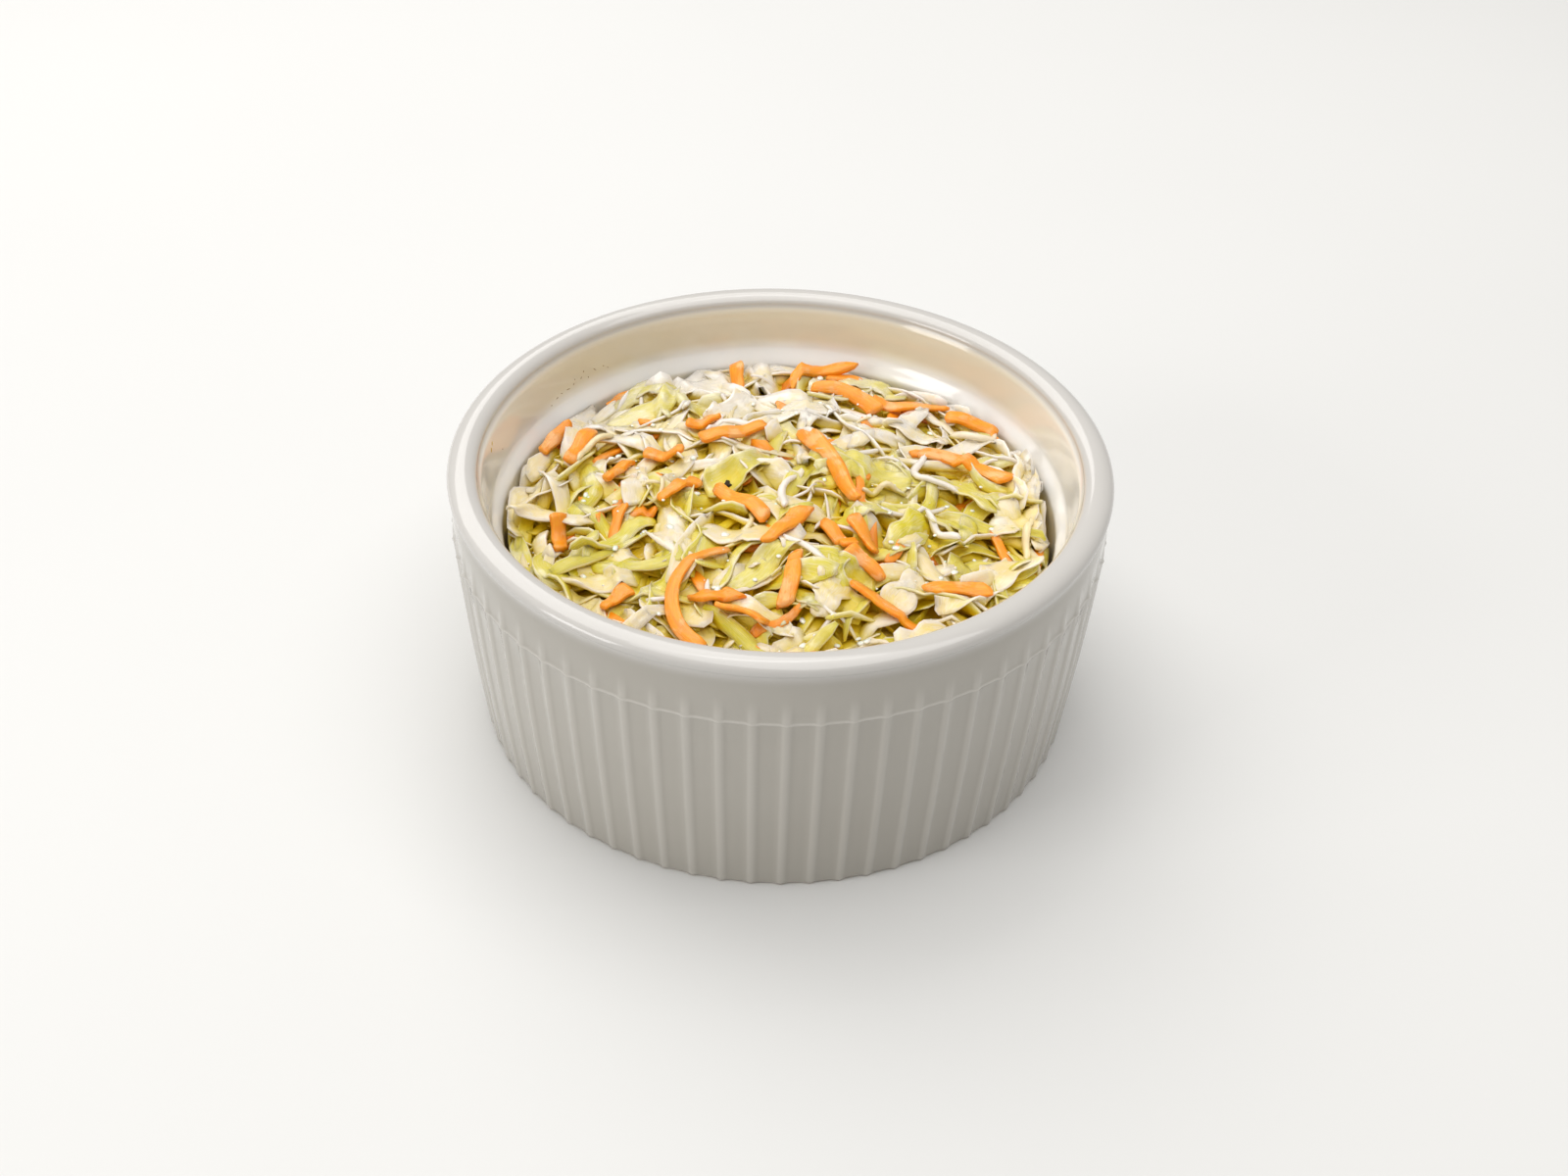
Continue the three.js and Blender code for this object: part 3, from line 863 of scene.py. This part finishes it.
carrot_rows = [
    (8, 5, -68, 22, -4, 0), (11, 31, -25, 13, -55, 0), (22, 29, -8, 13, 20, 0), (33, 24, -3, 11, 12, 0),
    (30, 10, -24, 16, -30, 0), (13, -12, -63, 8, 10, 0), (1, -12, -121, 11, -5, 0), (9, -12, -60, 9, -12, 1),
    (13, -19, -36, 7, -30, 0), (2, -23, -98, 10, -11, 0), (16, -27, -30, 12, -4, 0), (27, -22, 4, 10, -15, 0),
    (-13, -25, -98, 25, 140, 0), (-9, -26, 12, 7, 6, 0), (-5, -30, -25, 8, 3, 0), (-6, -5, -45, 12, -9, 0),
    (-8, 13, 18, 11, 14, 0), (-13, 18, 20, 6, 30, 0), (-19, 9, -18, 7, 2, 0), (-26, 6, 62, 8, 0, 0),
    (-33, 13, 75, 11, -10, 0), (-38, 17, 50, 8, -40, 0), (-16, -1, 50, 9, 20, 0), (-24, -25, 54, 6, -4, 0),
    (-34, -10, -81, 7, 0, 0), (-8, 36, -84, 7, 0, -5), (6, 38, 20, 12, -80, 1),
]
CARROT_WIDTH = 2.1
WIDER_WITH_LENGTH = 0.035
CURLED = 90
THREAD_WIDTH = 1.3
OPENING_HALF = 28
show_leaves = Shreds("pale_leaves_on_top", leaf_section(9), 20)
show_greens = Shreds("green_leaves_on_top", leaf_section(9), 20)
show_carrots = Shreds("carrot_shreds_on_top", block_section(), 22)
for *row, width, green in leaf_rows:
    form = leaf_form(width)
    form.update(roll=rng.normal(0, 14), twist=rng.normal(0, 28), sink=0.1, dip=rng.uniform(0.4, 1.2))
    form.update(sway=0, crinkle=rng.uniform(0.06, 0.2), over=0.4)
    lay(show_greens if green > 0.5 else show_leaves, row, form)
for row in carrot_rows:
    length, bend = row[3:5]
    form = carrot_form(CARROT_WIDTH if bend > CURLED else CARROT_WIDTH + WIDER_WITH_LENGTH * length)
    form.update(sink=-0.4, sway=0, dip=0.2, wave=0.05, over=0.8)
    lay(show_carrots, row, form)
for row in thread_rows:
    form = thread_form(THREAD_WIDTH)
    form.update(sink=-0.1, over=0.8)
    lay(threads, row, form)
report_rise("Shreds that show:")

for kind in (pale_leaves, green_leaves, show_leaves, show_greens, threads, carrots, show_carrots):
    count_faces(kind.build())
in_middle = np.maximum(np.abs(grid_x), np.abs(grid_y)) < OPENING_HALF
print(f"the heap reaches {top_map.max():.1f} mm, and {top_map[in_middle].max():.1f} mm in the middle")

# %% [markdown]
# Drops of dressing and pepper. The dressing is thin and creamy: most of it coats the shreds, and
# that is left to their finish, but it also stands in small beads. One bead is a rounded cube,
# which takes few faces, and its copies are flattened on the surface under them.

# %% Dressing drops and pepper
def bead_shape():
    """Points and quads of a small round bead: a cube, subdivided once and rounded."""
    start_fresh()
    bpy.ops.mesh.primitive_cube_add(size=1)
    bead = bpy.context.object
    apply_modifier(bead, "SUBSURF", levels=1, render_levels=1)
    points = np.array([p.co[:] for p in bead.data.vertices])
    quads = np.array([f.vertices[:] for f in bead.data.polygons])
    bpy.data.objects.remove(bead)
    return points / np.abs(points).max(), quads


def join_beads(name, beads, quads, tints):
    """One mesh piece from the points of many beads, which all have the same quads."""
    count = len(beads[0])
    all_quads = np.concatenate([quads + i * count for i in range(len(beads))])
    facts = np.concatenate([np.tile([0.5, 0, tint], (count, 1)) for tint in tints])
    return mesh_from_arrays(name, np.concatenate(beads), all_quads, facts)


def scatter_beads(name, places, sizes, flat, lumps, sink):
    """One lumpy bead of its own size at each place, sunk a little into the shreds."""
    points, quads = bead_shape()
    beads, tints = [], []
    for (x, y), size in zip(places, sizes):
        stretch = np.array([rng.uniform(0.8, 1.5), rng.uniform(0.8, 1.1), flat])
        turn = rng.uniform(0, math.pi)
        cos, sin = math.cos(turn), math.sin(turn)
        spin = np.array([[cos, -sin, 0], [sin, cos, 0], [0, 0, 1]])
        level = float(map_height(np.array(x), np.array(y))) - sink
        lumpy = 1 + lumps * rng.uniform(-1, 1, len(points))[:, None]
        beads.append((points * lumpy * stretch * size) @ spin.T + np.array([x, y, level]))
        tints.append(rng.uniform())
    return join_beads(name, beads, quads, tints)


DROP_COUNT = 220
DROP_REACH = 41
drop_places = [random_place(0, DROP_REACH)[:2] for _ in range(DROP_COUNT)]
drop_sizes = [0.15 + 0.5 * rng.uniform() ** 2 for _ in drop_places]
drops = scatter_beads("dressing_drops", drop_places, drop_sizes, 0.45, 0.14, 0)
pepper_places = [(-8.5, 1.5), (-8.1, 1.1), (-10.5, -33.5)]
pepper = scatter_beads("pepper_specks", pepper_places, [0.6, 0.4, 0.5], 0.6, 0.4, -0.1)
count_faces(drops)
count_faces(pepper)

# %% [markdown]
# Specks on the wall. A few crumbs of seasoning dried on the inner wall at the left when the slaw was
# tossed, and a thin smear of dressing beside them. They are the same lumpy beads, drawn out along
# the wall and pressed flat on it. Each row gives the direction from the middle, height, length,
# thickness and tilt.

# %% Specks on the inner wall
SPECK_LUMPS = 0.35
SPECK_HEIGHT = 0.06
speck_rows = [
    (148.6, 37.4, 0.25, 0.2, 0), (146.6, 38.0, 0.7, 0.13, 25), (145.0, 38.3, 0.6, 0.12, -30),
    (142.9, 38.3, 0.8, 0.13, -5), (141.2, 38.6, 0.5, 0.14, 40), (140.6, 39.3, 0.35, 0.15, 80),
    (138.9, 39.0, 0.5, 0.12, 55), (138.0, 39.9, 0.4, 0.14, 75), (136.9, 38.5, 0.3, 0.16, -70),
    (134.9, 39.3, 0.9, 0.11, -45), (132.6, 39.3, 0.3, 0.14, -20), (131.5, 38.7, 0.4, 0.14, -50),
    (169.5, 38.9, 0.25, 0.2, 0), (175.2, 41.6, 1.1, 0.35, 70), (173.9, 42.2, 0.7, 0.28, 60),
]


def wall_radius(height):
    """Radius of the inner wall at a height, from the dish's section."""
    if height > WALL_FOOT[1]:
        share = (height - WALL_FOOT[1]) / (WALL_TOP[1] - WALL_FOOT[1])
        return WALL_FOOT[0] + (WALL_TOP[0] - WALL_FOOT[0]) * share
    share = (WALL_FOOT[1] - height) / (WALL_FOOT[1] - LEDGE[1])
    return WALL_FOOT[0] + (LEDGE[0] - WALL_FOOT[0]) * ease(share)


def stick_specks(name):
    """The crumbs, each flat on the wall at its own place and tilt."""
    points, quads = bead_shape()
    beads = []
    for turn, height, length, thick, tilt in speck_rows:
        turn, tilt = math.radians(turn), math.radians(tilt)
        out = np.array([math.cos(turn), math.sin(turn), 0])
        sideways = np.array([math.sin(turn), -math.cos(turn), 0])
        along = math.cos(tilt) * sideways + np.array([0, 0, math.sin(tilt)])
        across = np.array([0, 0, math.cos(tilt)]) - math.sin(tilt) * sideways
        lumpy = points * (1 + SPECK_LUMPS * rng.uniform(-1, 1, len(points))[:, None])
        placed = wall_radius(height) * out + np.array([0, 0, height])
        placed = placed + lumpy[:, :1] * along * length / 2 + lumpy[:, 1:2] * across * thick / 2
        beads.append(placed + lumpy[:, 2:] * -out * SPECK_HEIGHT)
    return join_beads(name, beads, quads, np.arange(len(beads)) / len(beads))


specks = stick_specks("wall_specks")
count_faces(specks)

# %% [markdown]
# Shader maths. Node trees are easier to read as sums, so one small class wraps a socket and turns
# each operator into a Math node.

# %% Wires between nodes
class Wire:
    """A socket of a finish. Sums, products and powers of wires add Math nodes."""

    def __init__(self, finish, socket):
        self.finish = finish
        self.socket = socket

    def __add__(self, other):
        return self.finish.math("ADD", self, other)

    def __radd__(self, other):
        return self.finish.math("ADD", other, self)

    def __sub__(self, other):
        return self.finish.math("SUBTRACT", self, other)

    def __rsub__(self, other):
        return self.finish.math("SUBTRACT", other, self)

    def __mul__(self, other):
        return self.finish.math("MULTIPLY", self, other)

    def __rmul__(self, other):
        return self.finish.math("MULTIPLY", other, self)

    def __truediv__(self, other):
        return self.finish.math("DIVIDE", self, other)

    def __pow__(self, other):
        return self.finish.math("POWER", self, other)


# %% [markdown]
# One finish. A material is a shader with steady values and a few that change over the surface. One
# method adds every node that isn't plain maths: its type, its settings, and then the values or
# links of its sockets. The other methods give names to what the finishes below use.

# %% Finishes
class Finish:
    """One material. Its shader's steady values are set first, and wires feed the rest."""

    def __init__(self, name, **steady):
        self.material = bpy.data.materials.new(name)
        self.material.use_nodes = True
        self.tree = self.material.node_tree
        self.shader = self.tree.nodes["Principled BSDF"]
        for words, value in steady.items():
            socket = words.replace("_", " ").title().replace("Ior", "IOR")
            self.shader.inputs[socket].default_value = value

    def node(self, kind, settings=None, inputs=None, output=0):
        """Adds a node: its type, its settings, then its sockets' values or links."""
        made = self.tree.nodes.new(kind)
        for name, value in (settings or {}).items():
            setattr(made, name, value)
        for name, value in (inputs or {}).items():
            self.feed(made.inputs[name], value)
        return Wire(self, made.outputs[output])

    def feed(self, socket, value):
        """Links a wire to a socket, or sets its value."""
        if isinstance(value, Wire):
            self.tree.links.new(value.socket, socket)
        else:
            socket.default_value = value

    def math(self, operation, first, second):
        """A Math node on two values or wires."""
        return self.node("ShaderNodeMath", {"operation": operation}, {0: first, 1: second})

    def place(self):
        """The point's place on the piece, in metres."""
        return self.node("ShaderNodeTexCoord", output="Object")

    def parts(self, vector):
        """The three parts of a vector, each as a wire."""
        return [self.node("ShaderNodeSeparateXYZ", None, {0: vector}, i) for i in range(3)]

    def shred(self):
        """Along, across and tint of the shred that the point belongs to."""
        vector = self.node("ShaderNodeAttribute", {"attribute_name": "shred"}, None, "Vector")
        return self.parts(vector)

    def depth(self):
        """How deep in the heap the point lies, from 0 to 1."""
        return self.node("ShaderNodeAttribute", {"attribute_name": "depth"}, None, "Fac")

    def shade(self, body):
        """Painted shade deeper in the heap and on skin turned from above: gold at first, then deep yellow at
        the bottom, partly dressing gathered there.
        """
        depth = self.depth()
        body = self.mix(self.between(depth, 0.2, 0.8) * 0.7, body, painted_shade_gold)
        return self.mix(self.between(depth, 0.4, 1) * 0.9, body, juice_and_deep_shade)

    def noise(self, vector, scale, detail=2.0, rough=0.5):
        """Cloudy noise between 0 and 1."""
        inputs = {"Vector": vector, "Scale": scale, "Detail": detail, "Roughness": rough}
        return self.node("ShaderNodeTexNoise", None, inputs)

    def between(self, value, low, high):
        """0 up to the low value, 1 from the high one, and a soft rise between them."""
        inputs = {"Value": value, "From Min": low, "From Max": high}
        return self.node("ShaderNodeMapRange", {"interpolation_type": "SMOOTHSTEP"}, inputs)

    def past(self, place, low, high):
        """The same soft rise between two places on the piece, in millimetres."""
        return self.between(place, low * MM, high * MM)

    def mix(self, share, first, second):
        """A colour between two colours."""
        return self.node("ShaderNodeMix", {"data_type": "RGBA"}, {0: share, 6: first, 7: second}, 2)

    def bump(self, height, strength, distance):
        """Feeds a bump of this height to the shader's normal."""
        inputs = {"Height": height, "Strength": strength, "Distance": distance * MM}
        self.feed(self.shader.inputs["Normal"], self.node("ShaderNodeBump", None, inputs))

    def colour(self, value):
        """Feeds the shader's colour."""
        self.feed(self.shader.inputs["Base Color"], value)

    def roughness(self, value):
        """Feeds the shader's roughness."""
        self.feed(self.shader.inputs["Roughness"], value)


def tone(red, green, blue):
    """A colour from screen values between 0 and 255, as light."""
    def light(value):
        value = value / 255
        return value / 12.92 if value <= 0.04045 else ((value + 0.055) / 1.055) ** 2.4

    return (light(red), light(green), light(blue), 1)


print("a screen value of 128 is", round(tone(128, 128, 128)[0], 3), "as light")

# %% [markdown]
# The glaze. Stoneware under a clear glossy glaze is a warm white. Its colour also carries painted
# light. The outer wall is a greyer tone than the lip, as painted shade, and darker still towards
# the foot, also painted shade. The ribs and the raised line are lighter, partly where the glaze
# runs thin and partly as a painted highlight. Inside below the lip the lining is whiter than the
# lip, as painted light, and warmer at the back, as painted shade and light reflected from the
# slaw. Below the ledge it is a darker warm tone, as painted shade. The foot ring that it stands
# on is bare biscuit.
# Its surface is not a perfect mirror: a very faint unevenness breaks up reflections. All of that
# follows the dish's form, so each part is found by its height and its distance from the axis.

# %% Glaze
def glaze_finish():
    """White glaze over stoneware, with its tone set by the dish's form."""
    finish = Finish("white_glaze", coat_weight=0.4, coat_roughness=0.04, ior=1.5)
    place = finish.place()
    x, y, z = finish.parts(place)
    radius = (x * x + y * y) ** 0.5
    cloud = finish.noise(place, 60, 3)
    rim = finish.past(z, 41.5, 44.5) + (1 - finish.past(radius, 46.8, 47.4))
    bright = finish.mix(cloud, tone(202, 199, 195), tone(196, 193, 189))
    turn = finish.math("ARCTAN2", y, x) - first_angle + 4 * math.pi
    share = finish.math("FRACT", turn / pitch + 0.5, 0) - 0.5
    rib = (1 - finish.between(share * share, 0, 0.035)) * (1 - finish.past(z, 36, 40))
    # Painted shade: the outer wall takes a greyer tone than the lip and the lining.
    panel = finish.mix(cloud, tone(178, 174, 166), tone(172, 167, 158))
    # More painted shade: the outer wall grows darker towards the foot.
    panel = finish.mix((1 - finish.past(z, 0, 30)) * 0.5, panel, tone(167, 162, 152))
    line = 1 - finish.past(finish.math("ABSOLUTE", z - LINE_HEIGHT * MM, 0), 0.1, 0.4)
    # Ribs and raised line lighter: partly thin glaze, partly a painted highlight.
    panel = finish.mix(finish.math("MAXIMUM", rib * 0.35, line * 0.6), panel, tone(208, 204, 197))
    body = finish.mix(finish.between(rim, 0, 1), panel, bright)
    # Painted light: the lining below the lip is whiter than the lip, and the ledge keeps that white.
    inside = (1 - finish.past(radius, 46.4, 47.2)) * finish.past(z, 33.5, 34.5)
    under_lip = inside * (1 - finish.past(z, 43.5, 45.5))
    # Painted shade and light reflected from the slaw: the lining turns warmer higher up and at the back.
    painted_warm_shade_and_bounce = finish.past(z, 36.5, 39) * (finish.past(y, 0, 35) * 0.8 + 0.15)
    lining = finish.mix(painted_warm_shade_and_bounce, tone(247, 246, 244), tone(225, 214, 190))
    body = finish.mix(under_lip * 0.95, body, lining)
    # Painted shade: inside below the ledge the wall takes a darker warm tone.
    below = 1 - finish.past(z, 33.5, 34.5)
    lower = below * (1 - finish.past(radius, 44.5, 45.5))
    body = finish.mix(lower * 0.8, body, tone(236, 230, 214))
    bare = (1 - finish.past(z, 0.1, 0.4)) * finish.past(radius, 37.8, 38.6)
    grain = finish.noise(place, 1800, 2)
    biscuit = finish.mix(grain, tone(214, 202, 182), tone(190, 174, 150))
    finish.colour(finish.mix(bare, body, biscuit))
    ripple = finish.noise(place, 120, 2)
    finish.roughness(bare * 0.55 + ripple * 0.06 + 0.1)
    finish.bump(ripple + bare * grain * 0.4, 0.12, 0.12)
    return finish.material


# %% [markdown]
# Cabbage. A cut leaf is pale at its edges, where the light comes through the wet cut, and deeper
# in the middle, with fine veins along it. Green bits go from yellow-green to cream within one
# piece. The dressing on them is a thin milky film, so the finish has milky patches with a glossy
# coat, and more of them towards the back. The pits of the crinkle and the points deep in the heap
# get a gold tone, as painted shade. Light goes a little way into a wet leaf, which the subsurface
# share gives.

# %% Cabbage
cream = tone(240, 226, 210)
milk = tone(241, 235, 227)
# Gold and deep yellow are painted shade in the heap; the deep yellow is partly dressing gathered low.
painted_shade_gold = tone(238, 214, 32)
juice_and_deep_shade = tone(240, 203, 0)
wet = {"coat_roughness": 0.08, "subsurface_radius": (1, 1, 0.9)}


def leaf_finish(name, deep, middle, whiteness):
    """Cabbage leaf from two of its tones, and how much cream and milk lie on it."""
    finish = Finish(name, subsurface_weight=0.4, subsurface_scale=0.0015, **wet)
    along, across, tint = finish.shred()
    place = finish.place()
    cloud = finish.noise(place, 260, 3)
    lean = (along - 0.5) * (tint - 0.5) * 1.6
    blotch = finish.between(cloud + lean + tint * 0.4 - 0.2, 0.3, 0.75)
    body = finish.mix(blotch, deep, middle)
    run = finish.node("ShaderNodeCombineXYZ", None, {0: along * 3, 1: across * 9, 2: tint * 40})
    veins = finish.noise(run, 1.6, 3)
    body = finish.mix(finish.between(veins, 0.45, 0.7) * (0.6 * whiteness), body, cream)
    crinkle = finish.noise(place, 800, 3, 0.6)
    # Painted shade: the pits of the crinkle bump take a gold tone.
    body = finish.mix((1 - finish.between(crinkle, 0.36, 0.5)) * 0.22, body, painted_shade_gold)
    edge = finish.between(across * across + (veins - 0.5) * 0.3, 0.62, 1.0)
    body = finish.mix(edge * (0.85 * whiteness), body, cream)
    towards_back = finish.past(finish.parts(place)[1], -10, 35)
    film = finish.between(finish.noise(place, 330, 3) + towards_back * 0.12, 0.5, 0.66)
    body = finish.mix((film * 0.5 + towards_back * 0.35) * whiteness, body, milk)
    finish.feed(finish.shader.inputs["Coat Weight"], film * 0.65 + 0.25)
    finish.colour(finish.shade(body))
    finish.roughness(0.42 - film * 0.2)
    finish.bump(veins + film * 0.5 + crinkle * 0.6, 0.45, 0.25)
    return finish.material


def thread_finish():
    """The thin white shreds, from the rib of the leaf."""
    under_skin = {"subsurface_weight": 0.3, "subsurface_scale": 0.002}
    finish = Finish("white_cabbage", coat_weight=0.45, **wet, **under_skin)
    along, across, tint = finish.shred()
    run = finish.node("ShaderNodeCombineXYZ", None, {0: along * 4, 1: across * 3, 2: tint * 40})
    grain = finish.noise(run, 2.2, 3)
    body = finish.mix(finish.between(tint, 0.45, 0.9), tone(241, 234, 225), tone(235, 213, 150))
    body = finish.mix(grain * 0.6, body, cream)
    finish.colour(finish.shade(body))
    finish.roughness(0.3 + grain * 0.1)
    finish.bump(grain, 0.4, 0.2)
    return finish.material


# %% [markdown]
# Carrot. Grated carrot is strong orange, with fibres along it and lighter bruised streaks where
# the dressing clings, which also serve as a painted highlight. Deep in the heap, and where its
# skin faces away from above, it turns a darker orange, as painted shade.

# %% Carrot
def carrot_finish():
    """Grated carrot."""
    finish = Finish("grated_carrot", coat_weight=0.4, coat_roughness=0.1)
    along, across, tint = finish.shred()
    place = finish.place()
    run = finish.node("ShaderNodeCombineXYZ", None, {0: along * 3, 1: across * 6, 2: tint * 40})
    fibre = finish.noise(run, 2.4, 4)
    grain = finish.noise(place, 1100, 3, 0.6)
    body = finish.mix(finish.between(fibre, 0.3, 0.7), tone(255, 142, 0), tone(255, 172, 20))
    # Lighter streaks: dressing that clings, and partly a painted highlight.
    streak_and_highlight = finish.between(finish.noise(place, 300, 3) + fibre * 0.3, 0.68, 0.8)
    body = finish.mix(streak_and_highlight * 0.4, body, tone(255, 214, 160))
    # Painted shade: a darker orange deep in the heap and where the skin faces away from above.
    finish.colour(finish.mix(finish.depth() * 0.5, body, tone(225, 115, 0)))
    finish.roughness(0.42 - streak_and_highlight * 0.15)
    finish.bump(fibre + streak_and_highlight * 0.4 + grain * 0.6, 0.5, 0.25)
    return finish.material


# %% [markdown]
# Core, dressing and specks. The core only shows in the gaps, as deep yellow juice with paler
# dressing on its crests; that deep yellow is also painted shade, the warm tone of the gaps between
# wet shreds. The drops are smooth, white and shiny, the crumbs on the wall are brown with one
# yellowish smear, and the pepper is dull and black.

# %% The other finishes
def core_finish():
    """Juice and dressing deep in the heap, whose deep yellow is partly painted shade of the gaps."""
    finish = Finish("deep_slaw", coat_weight=0.4, coat_roughness=0.15)
    place = finish.place()
    cloud = finish.noise(place, 300, 3)
    fine = finish.noise(place, 900, 3)
    # The core's deep yellow is partly painted shade, the warm tone of the gaps.
    body = finish.mix(finish.between(cloud, 0.35, 0.65), tone(242, 204, 2), tone(246, 214, 36))
    finish.colour(finish.mix(finish.between(fine, 0.5, 0.7) * 0.3, body, tone(238, 214, 110)))
    finish.roughness(0.35 + fine * 0.2)
    finish.bump(cloud + fine, 0.6, 0.5)
    return finish.material


def dressing_finish():
    """Smooth creamy dressing."""
    under_skin = {"subsurface_weight": 0.3, "subsurface_scale": 0.001}
    finish = Finish("creamy_dressing", coat_weight=0.8, coat_roughness=0.05, **under_skin)
    cloud = finish.noise(finish.place(), 700, 2)
    finish.colour(finish.mix(cloud, tone(246, 244, 238), tone(238, 232, 212)))
    finish.roughness(0.16 + cloud * 0.08)
    return finish.material


def speck_finish():
    """Brown crumbs, of which the last ones are a yellowish smear."""
    finish = Finish("dried_specks", specular_ior_level=0.4)
    tint = finish.shred()[2]
    grain = finish.noise(finish.place(), 2600, 3)
    crumb = finish.mix(grain, tone(120, 88, 48), tone(160, 126, 80))
    finish.colour(finish.mix(finish.between(tint, 0.82, 0.86), crumb, tone(214, 184, 84)))
    finish.roughness(0.5 + grain * 0.2)
    return finish.material


def pepper_finish():
    """Ground black pepper."""
    finish = Finish("black_pepper", specular_ior_level=0.3)
    grain = finish.noise(finish.place(), 2600, 3)
    finish.colour(finish.mix(grain, tone(20, 15, 12), tone(70, 55, 42)))
    finish.roughness(0.7 + grain * 0.2)
    finish.bump(grain, 0.8, 0.15)
    return finish.material


pale_leaf = leaf_finish("pale_cabbage", tone(235, 212, 152), tone(239, 223, 194), 1)
green_leaf = leaf_finish("green_cabbage", tone(206, 192, 26), tone(220, 206, 96), 0.5)
carrot = carrot_finish()
finishes = {
    "dish": (glaze_finish(), "glaze"),
    "slaw_core": (core_finish(), "cabbage"),
    "pale_leaves": (pale_leaf, "cabbage"),
    "pale_leaves_on_top": (pale_leaf, "cabbage"),
    "green_leaves": (green_leaf, "green_cabbage"),
    "green_leaves_on_top": (green_leaf, "green_cabbage"),
    "white_threads": (thread_finish(), "cabbage"),
    "carrot_shreds": (carrot, "carrot"),
    "carrot_shreds_on_top": (carrot, "carrot"),
    "dressing_drops": (dressing_finish(), "dressing"),
    "pepper_specks": (pepper_finish(), "pepper"),
    "wall_specks": (speck_finish(), "pepper"),
}
for name, (material, slot) in finishes.items():
    piece = bpy.data.objects[name]
    piece.data.materials.clear()
    piece.data.materials.append(material)
    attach(piece, "root")
    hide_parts("ramekin" if name in ("dish", "wall_specks") else "coleslaw")
print(f"{len(finishes)} pieces finished")

# %% [markdown]
# The studio. A wide pale floor and large soft lights. The main one stands high behind the dish on
# the left, so the lip and the slaw are bright and the front of the dish is in soft shade.

# %% Floor and lights
FLOOR_SIZE = 6


def make_floor():
    """A wide matt floor, which isn't part of the dish."""
    start_fresh()
    bpy.ops.mesh.primitive_plane_add(size=FLOOR_SIZE)
    floor = bpy.context.object
    floor.name = "floor"
    finish = Finish("pale_floor", specular_ior_level=0.2)
    cloud = finish.noise(finish.place(), 6, 2)
    finish.colour(finish.mix(cloud, tone(226, 226, 225), tone(221, 221, 220)))
    finish.roughness(0.7 + cloud * 0.1)
    floor.data.materials.append(finish.material)


def add_light(name, place, aim, size, power, colour):
    """A square soft light at a place, aimed at a point."""
    light = bpy.data.lights.new(name, "AREA")
    light.size = size
    light.energy = power
    light.color = colour
    lamp = bpy.data.objects.new(name, light)
    bpy.context.scene.collection.objects.link(lamp)
    direction = Vector(aim) - Vector(place)
    lamp.matrix_world = Matrix.Translation(place) @ direction.to_track_quat("-Z", "Y").to_matrix().to_4x4()


def set_world(seen, shed):
    """The world's colour as the camera sees it, and the light that it sheds."""
    world = bpy.data.worlds.new("studio")
    bpy.context.scene.world = world
    world.use_nodes = True
    tree = world.node_tree
    back = tree.nodes["Background"]
    path = tree.nodes.new("ShaderNodeLightPath")
    mix = tree.nodes.new("ShaderNodeMix")
    mix.data_type = "RGBA"
    mix.inputs[6].default_value = shed
    mix.inputs[7].default_value = seen
    tree.links.new(path.outputs["Is Camera Ray"], mix.inputs[0])
    tree.links.new(mix.outputs[2], back.inputs["Color"])


make_floor()
aim = (0, 0, 0.03)
add_light("key", (-0.28, 0.45, 0.72), aim, 0.75, 4.0, (1, 0.985, 0.96))
add_light("top", (0.1, -0.08, 0.95), aim, 0.9, 5.1, (1, 0.99, 0.98))
add_light("side", (-0.75, -0.4, 0.35), aim, 0.4, 2.3, (1, 0.99, 0.97))
set_world(tone(240, 240, 240), (0.42, 0.414, 0.4, 1))
print("floor, three lights and a pale world stand ready")
bpy.context.scene.view_settings.view_transform = "Standard"

# %% [markdown]
# The camera. The photograph was taken from close by, so its perspective is strong. The angle,
# roll, distance, aim and focal length below, in degrees, metres and pixels, make the lip, the
# raised line and the foot fall where the photograph shows them.

# %% Camera
CAMERA_RISE = 38.11
CAMERA_ROLL = 1.61
CAMERA_DISTANCE = 0.306
CAMERA_AIM = 0.02271
SENSOR = 36
IMAGE_WIDTH = 1600
FOCAL_PIXELS = 1912.25
SHIFT_PIXELS = (6.1, -20.8)


def make_camera():
    """The camera that matches the photograph's view."""
    camera = bpy.data.cameras.new("camera")
    camera.sensor_width = SENSOR
    camera.lens = FOCAL_PIXELS / IMAGE_WIDTH * SENSOR
    camera.shift_x = SHIFT_PIXELS[0] / IMAGE_WIDTH
    camera.shift_y = SHIFT_PIXELS[1] / IMAGE_WIDTH
    camera.clip_start = 0.01
    rise = math.radians(CAMERA_RISE)
    back = Vector((0, -math.cos(rise), math.sin(rise))) * CAMERA_DISTANCE
    holder = bpy.data.objects.new("camera", camera)
    bpy.context.scene.collection.objects.link(holder)
    roll = Matrix.Rotation(math.radians(CAMERA_ROLL), 4, "Z")
    tilt = Matrix.Rotation(math.pi / 2 - rise, 4, "X") @ roll
    holder.matrix_world = Matrix.Translation(Vector((0, 0, CAMERA_AIM)) + back) @ tilt
    bpy.context.scene.camera = holder
    print("camera at", [round(v, 4) for v in holder.matrix_world.translation])


make_camera()
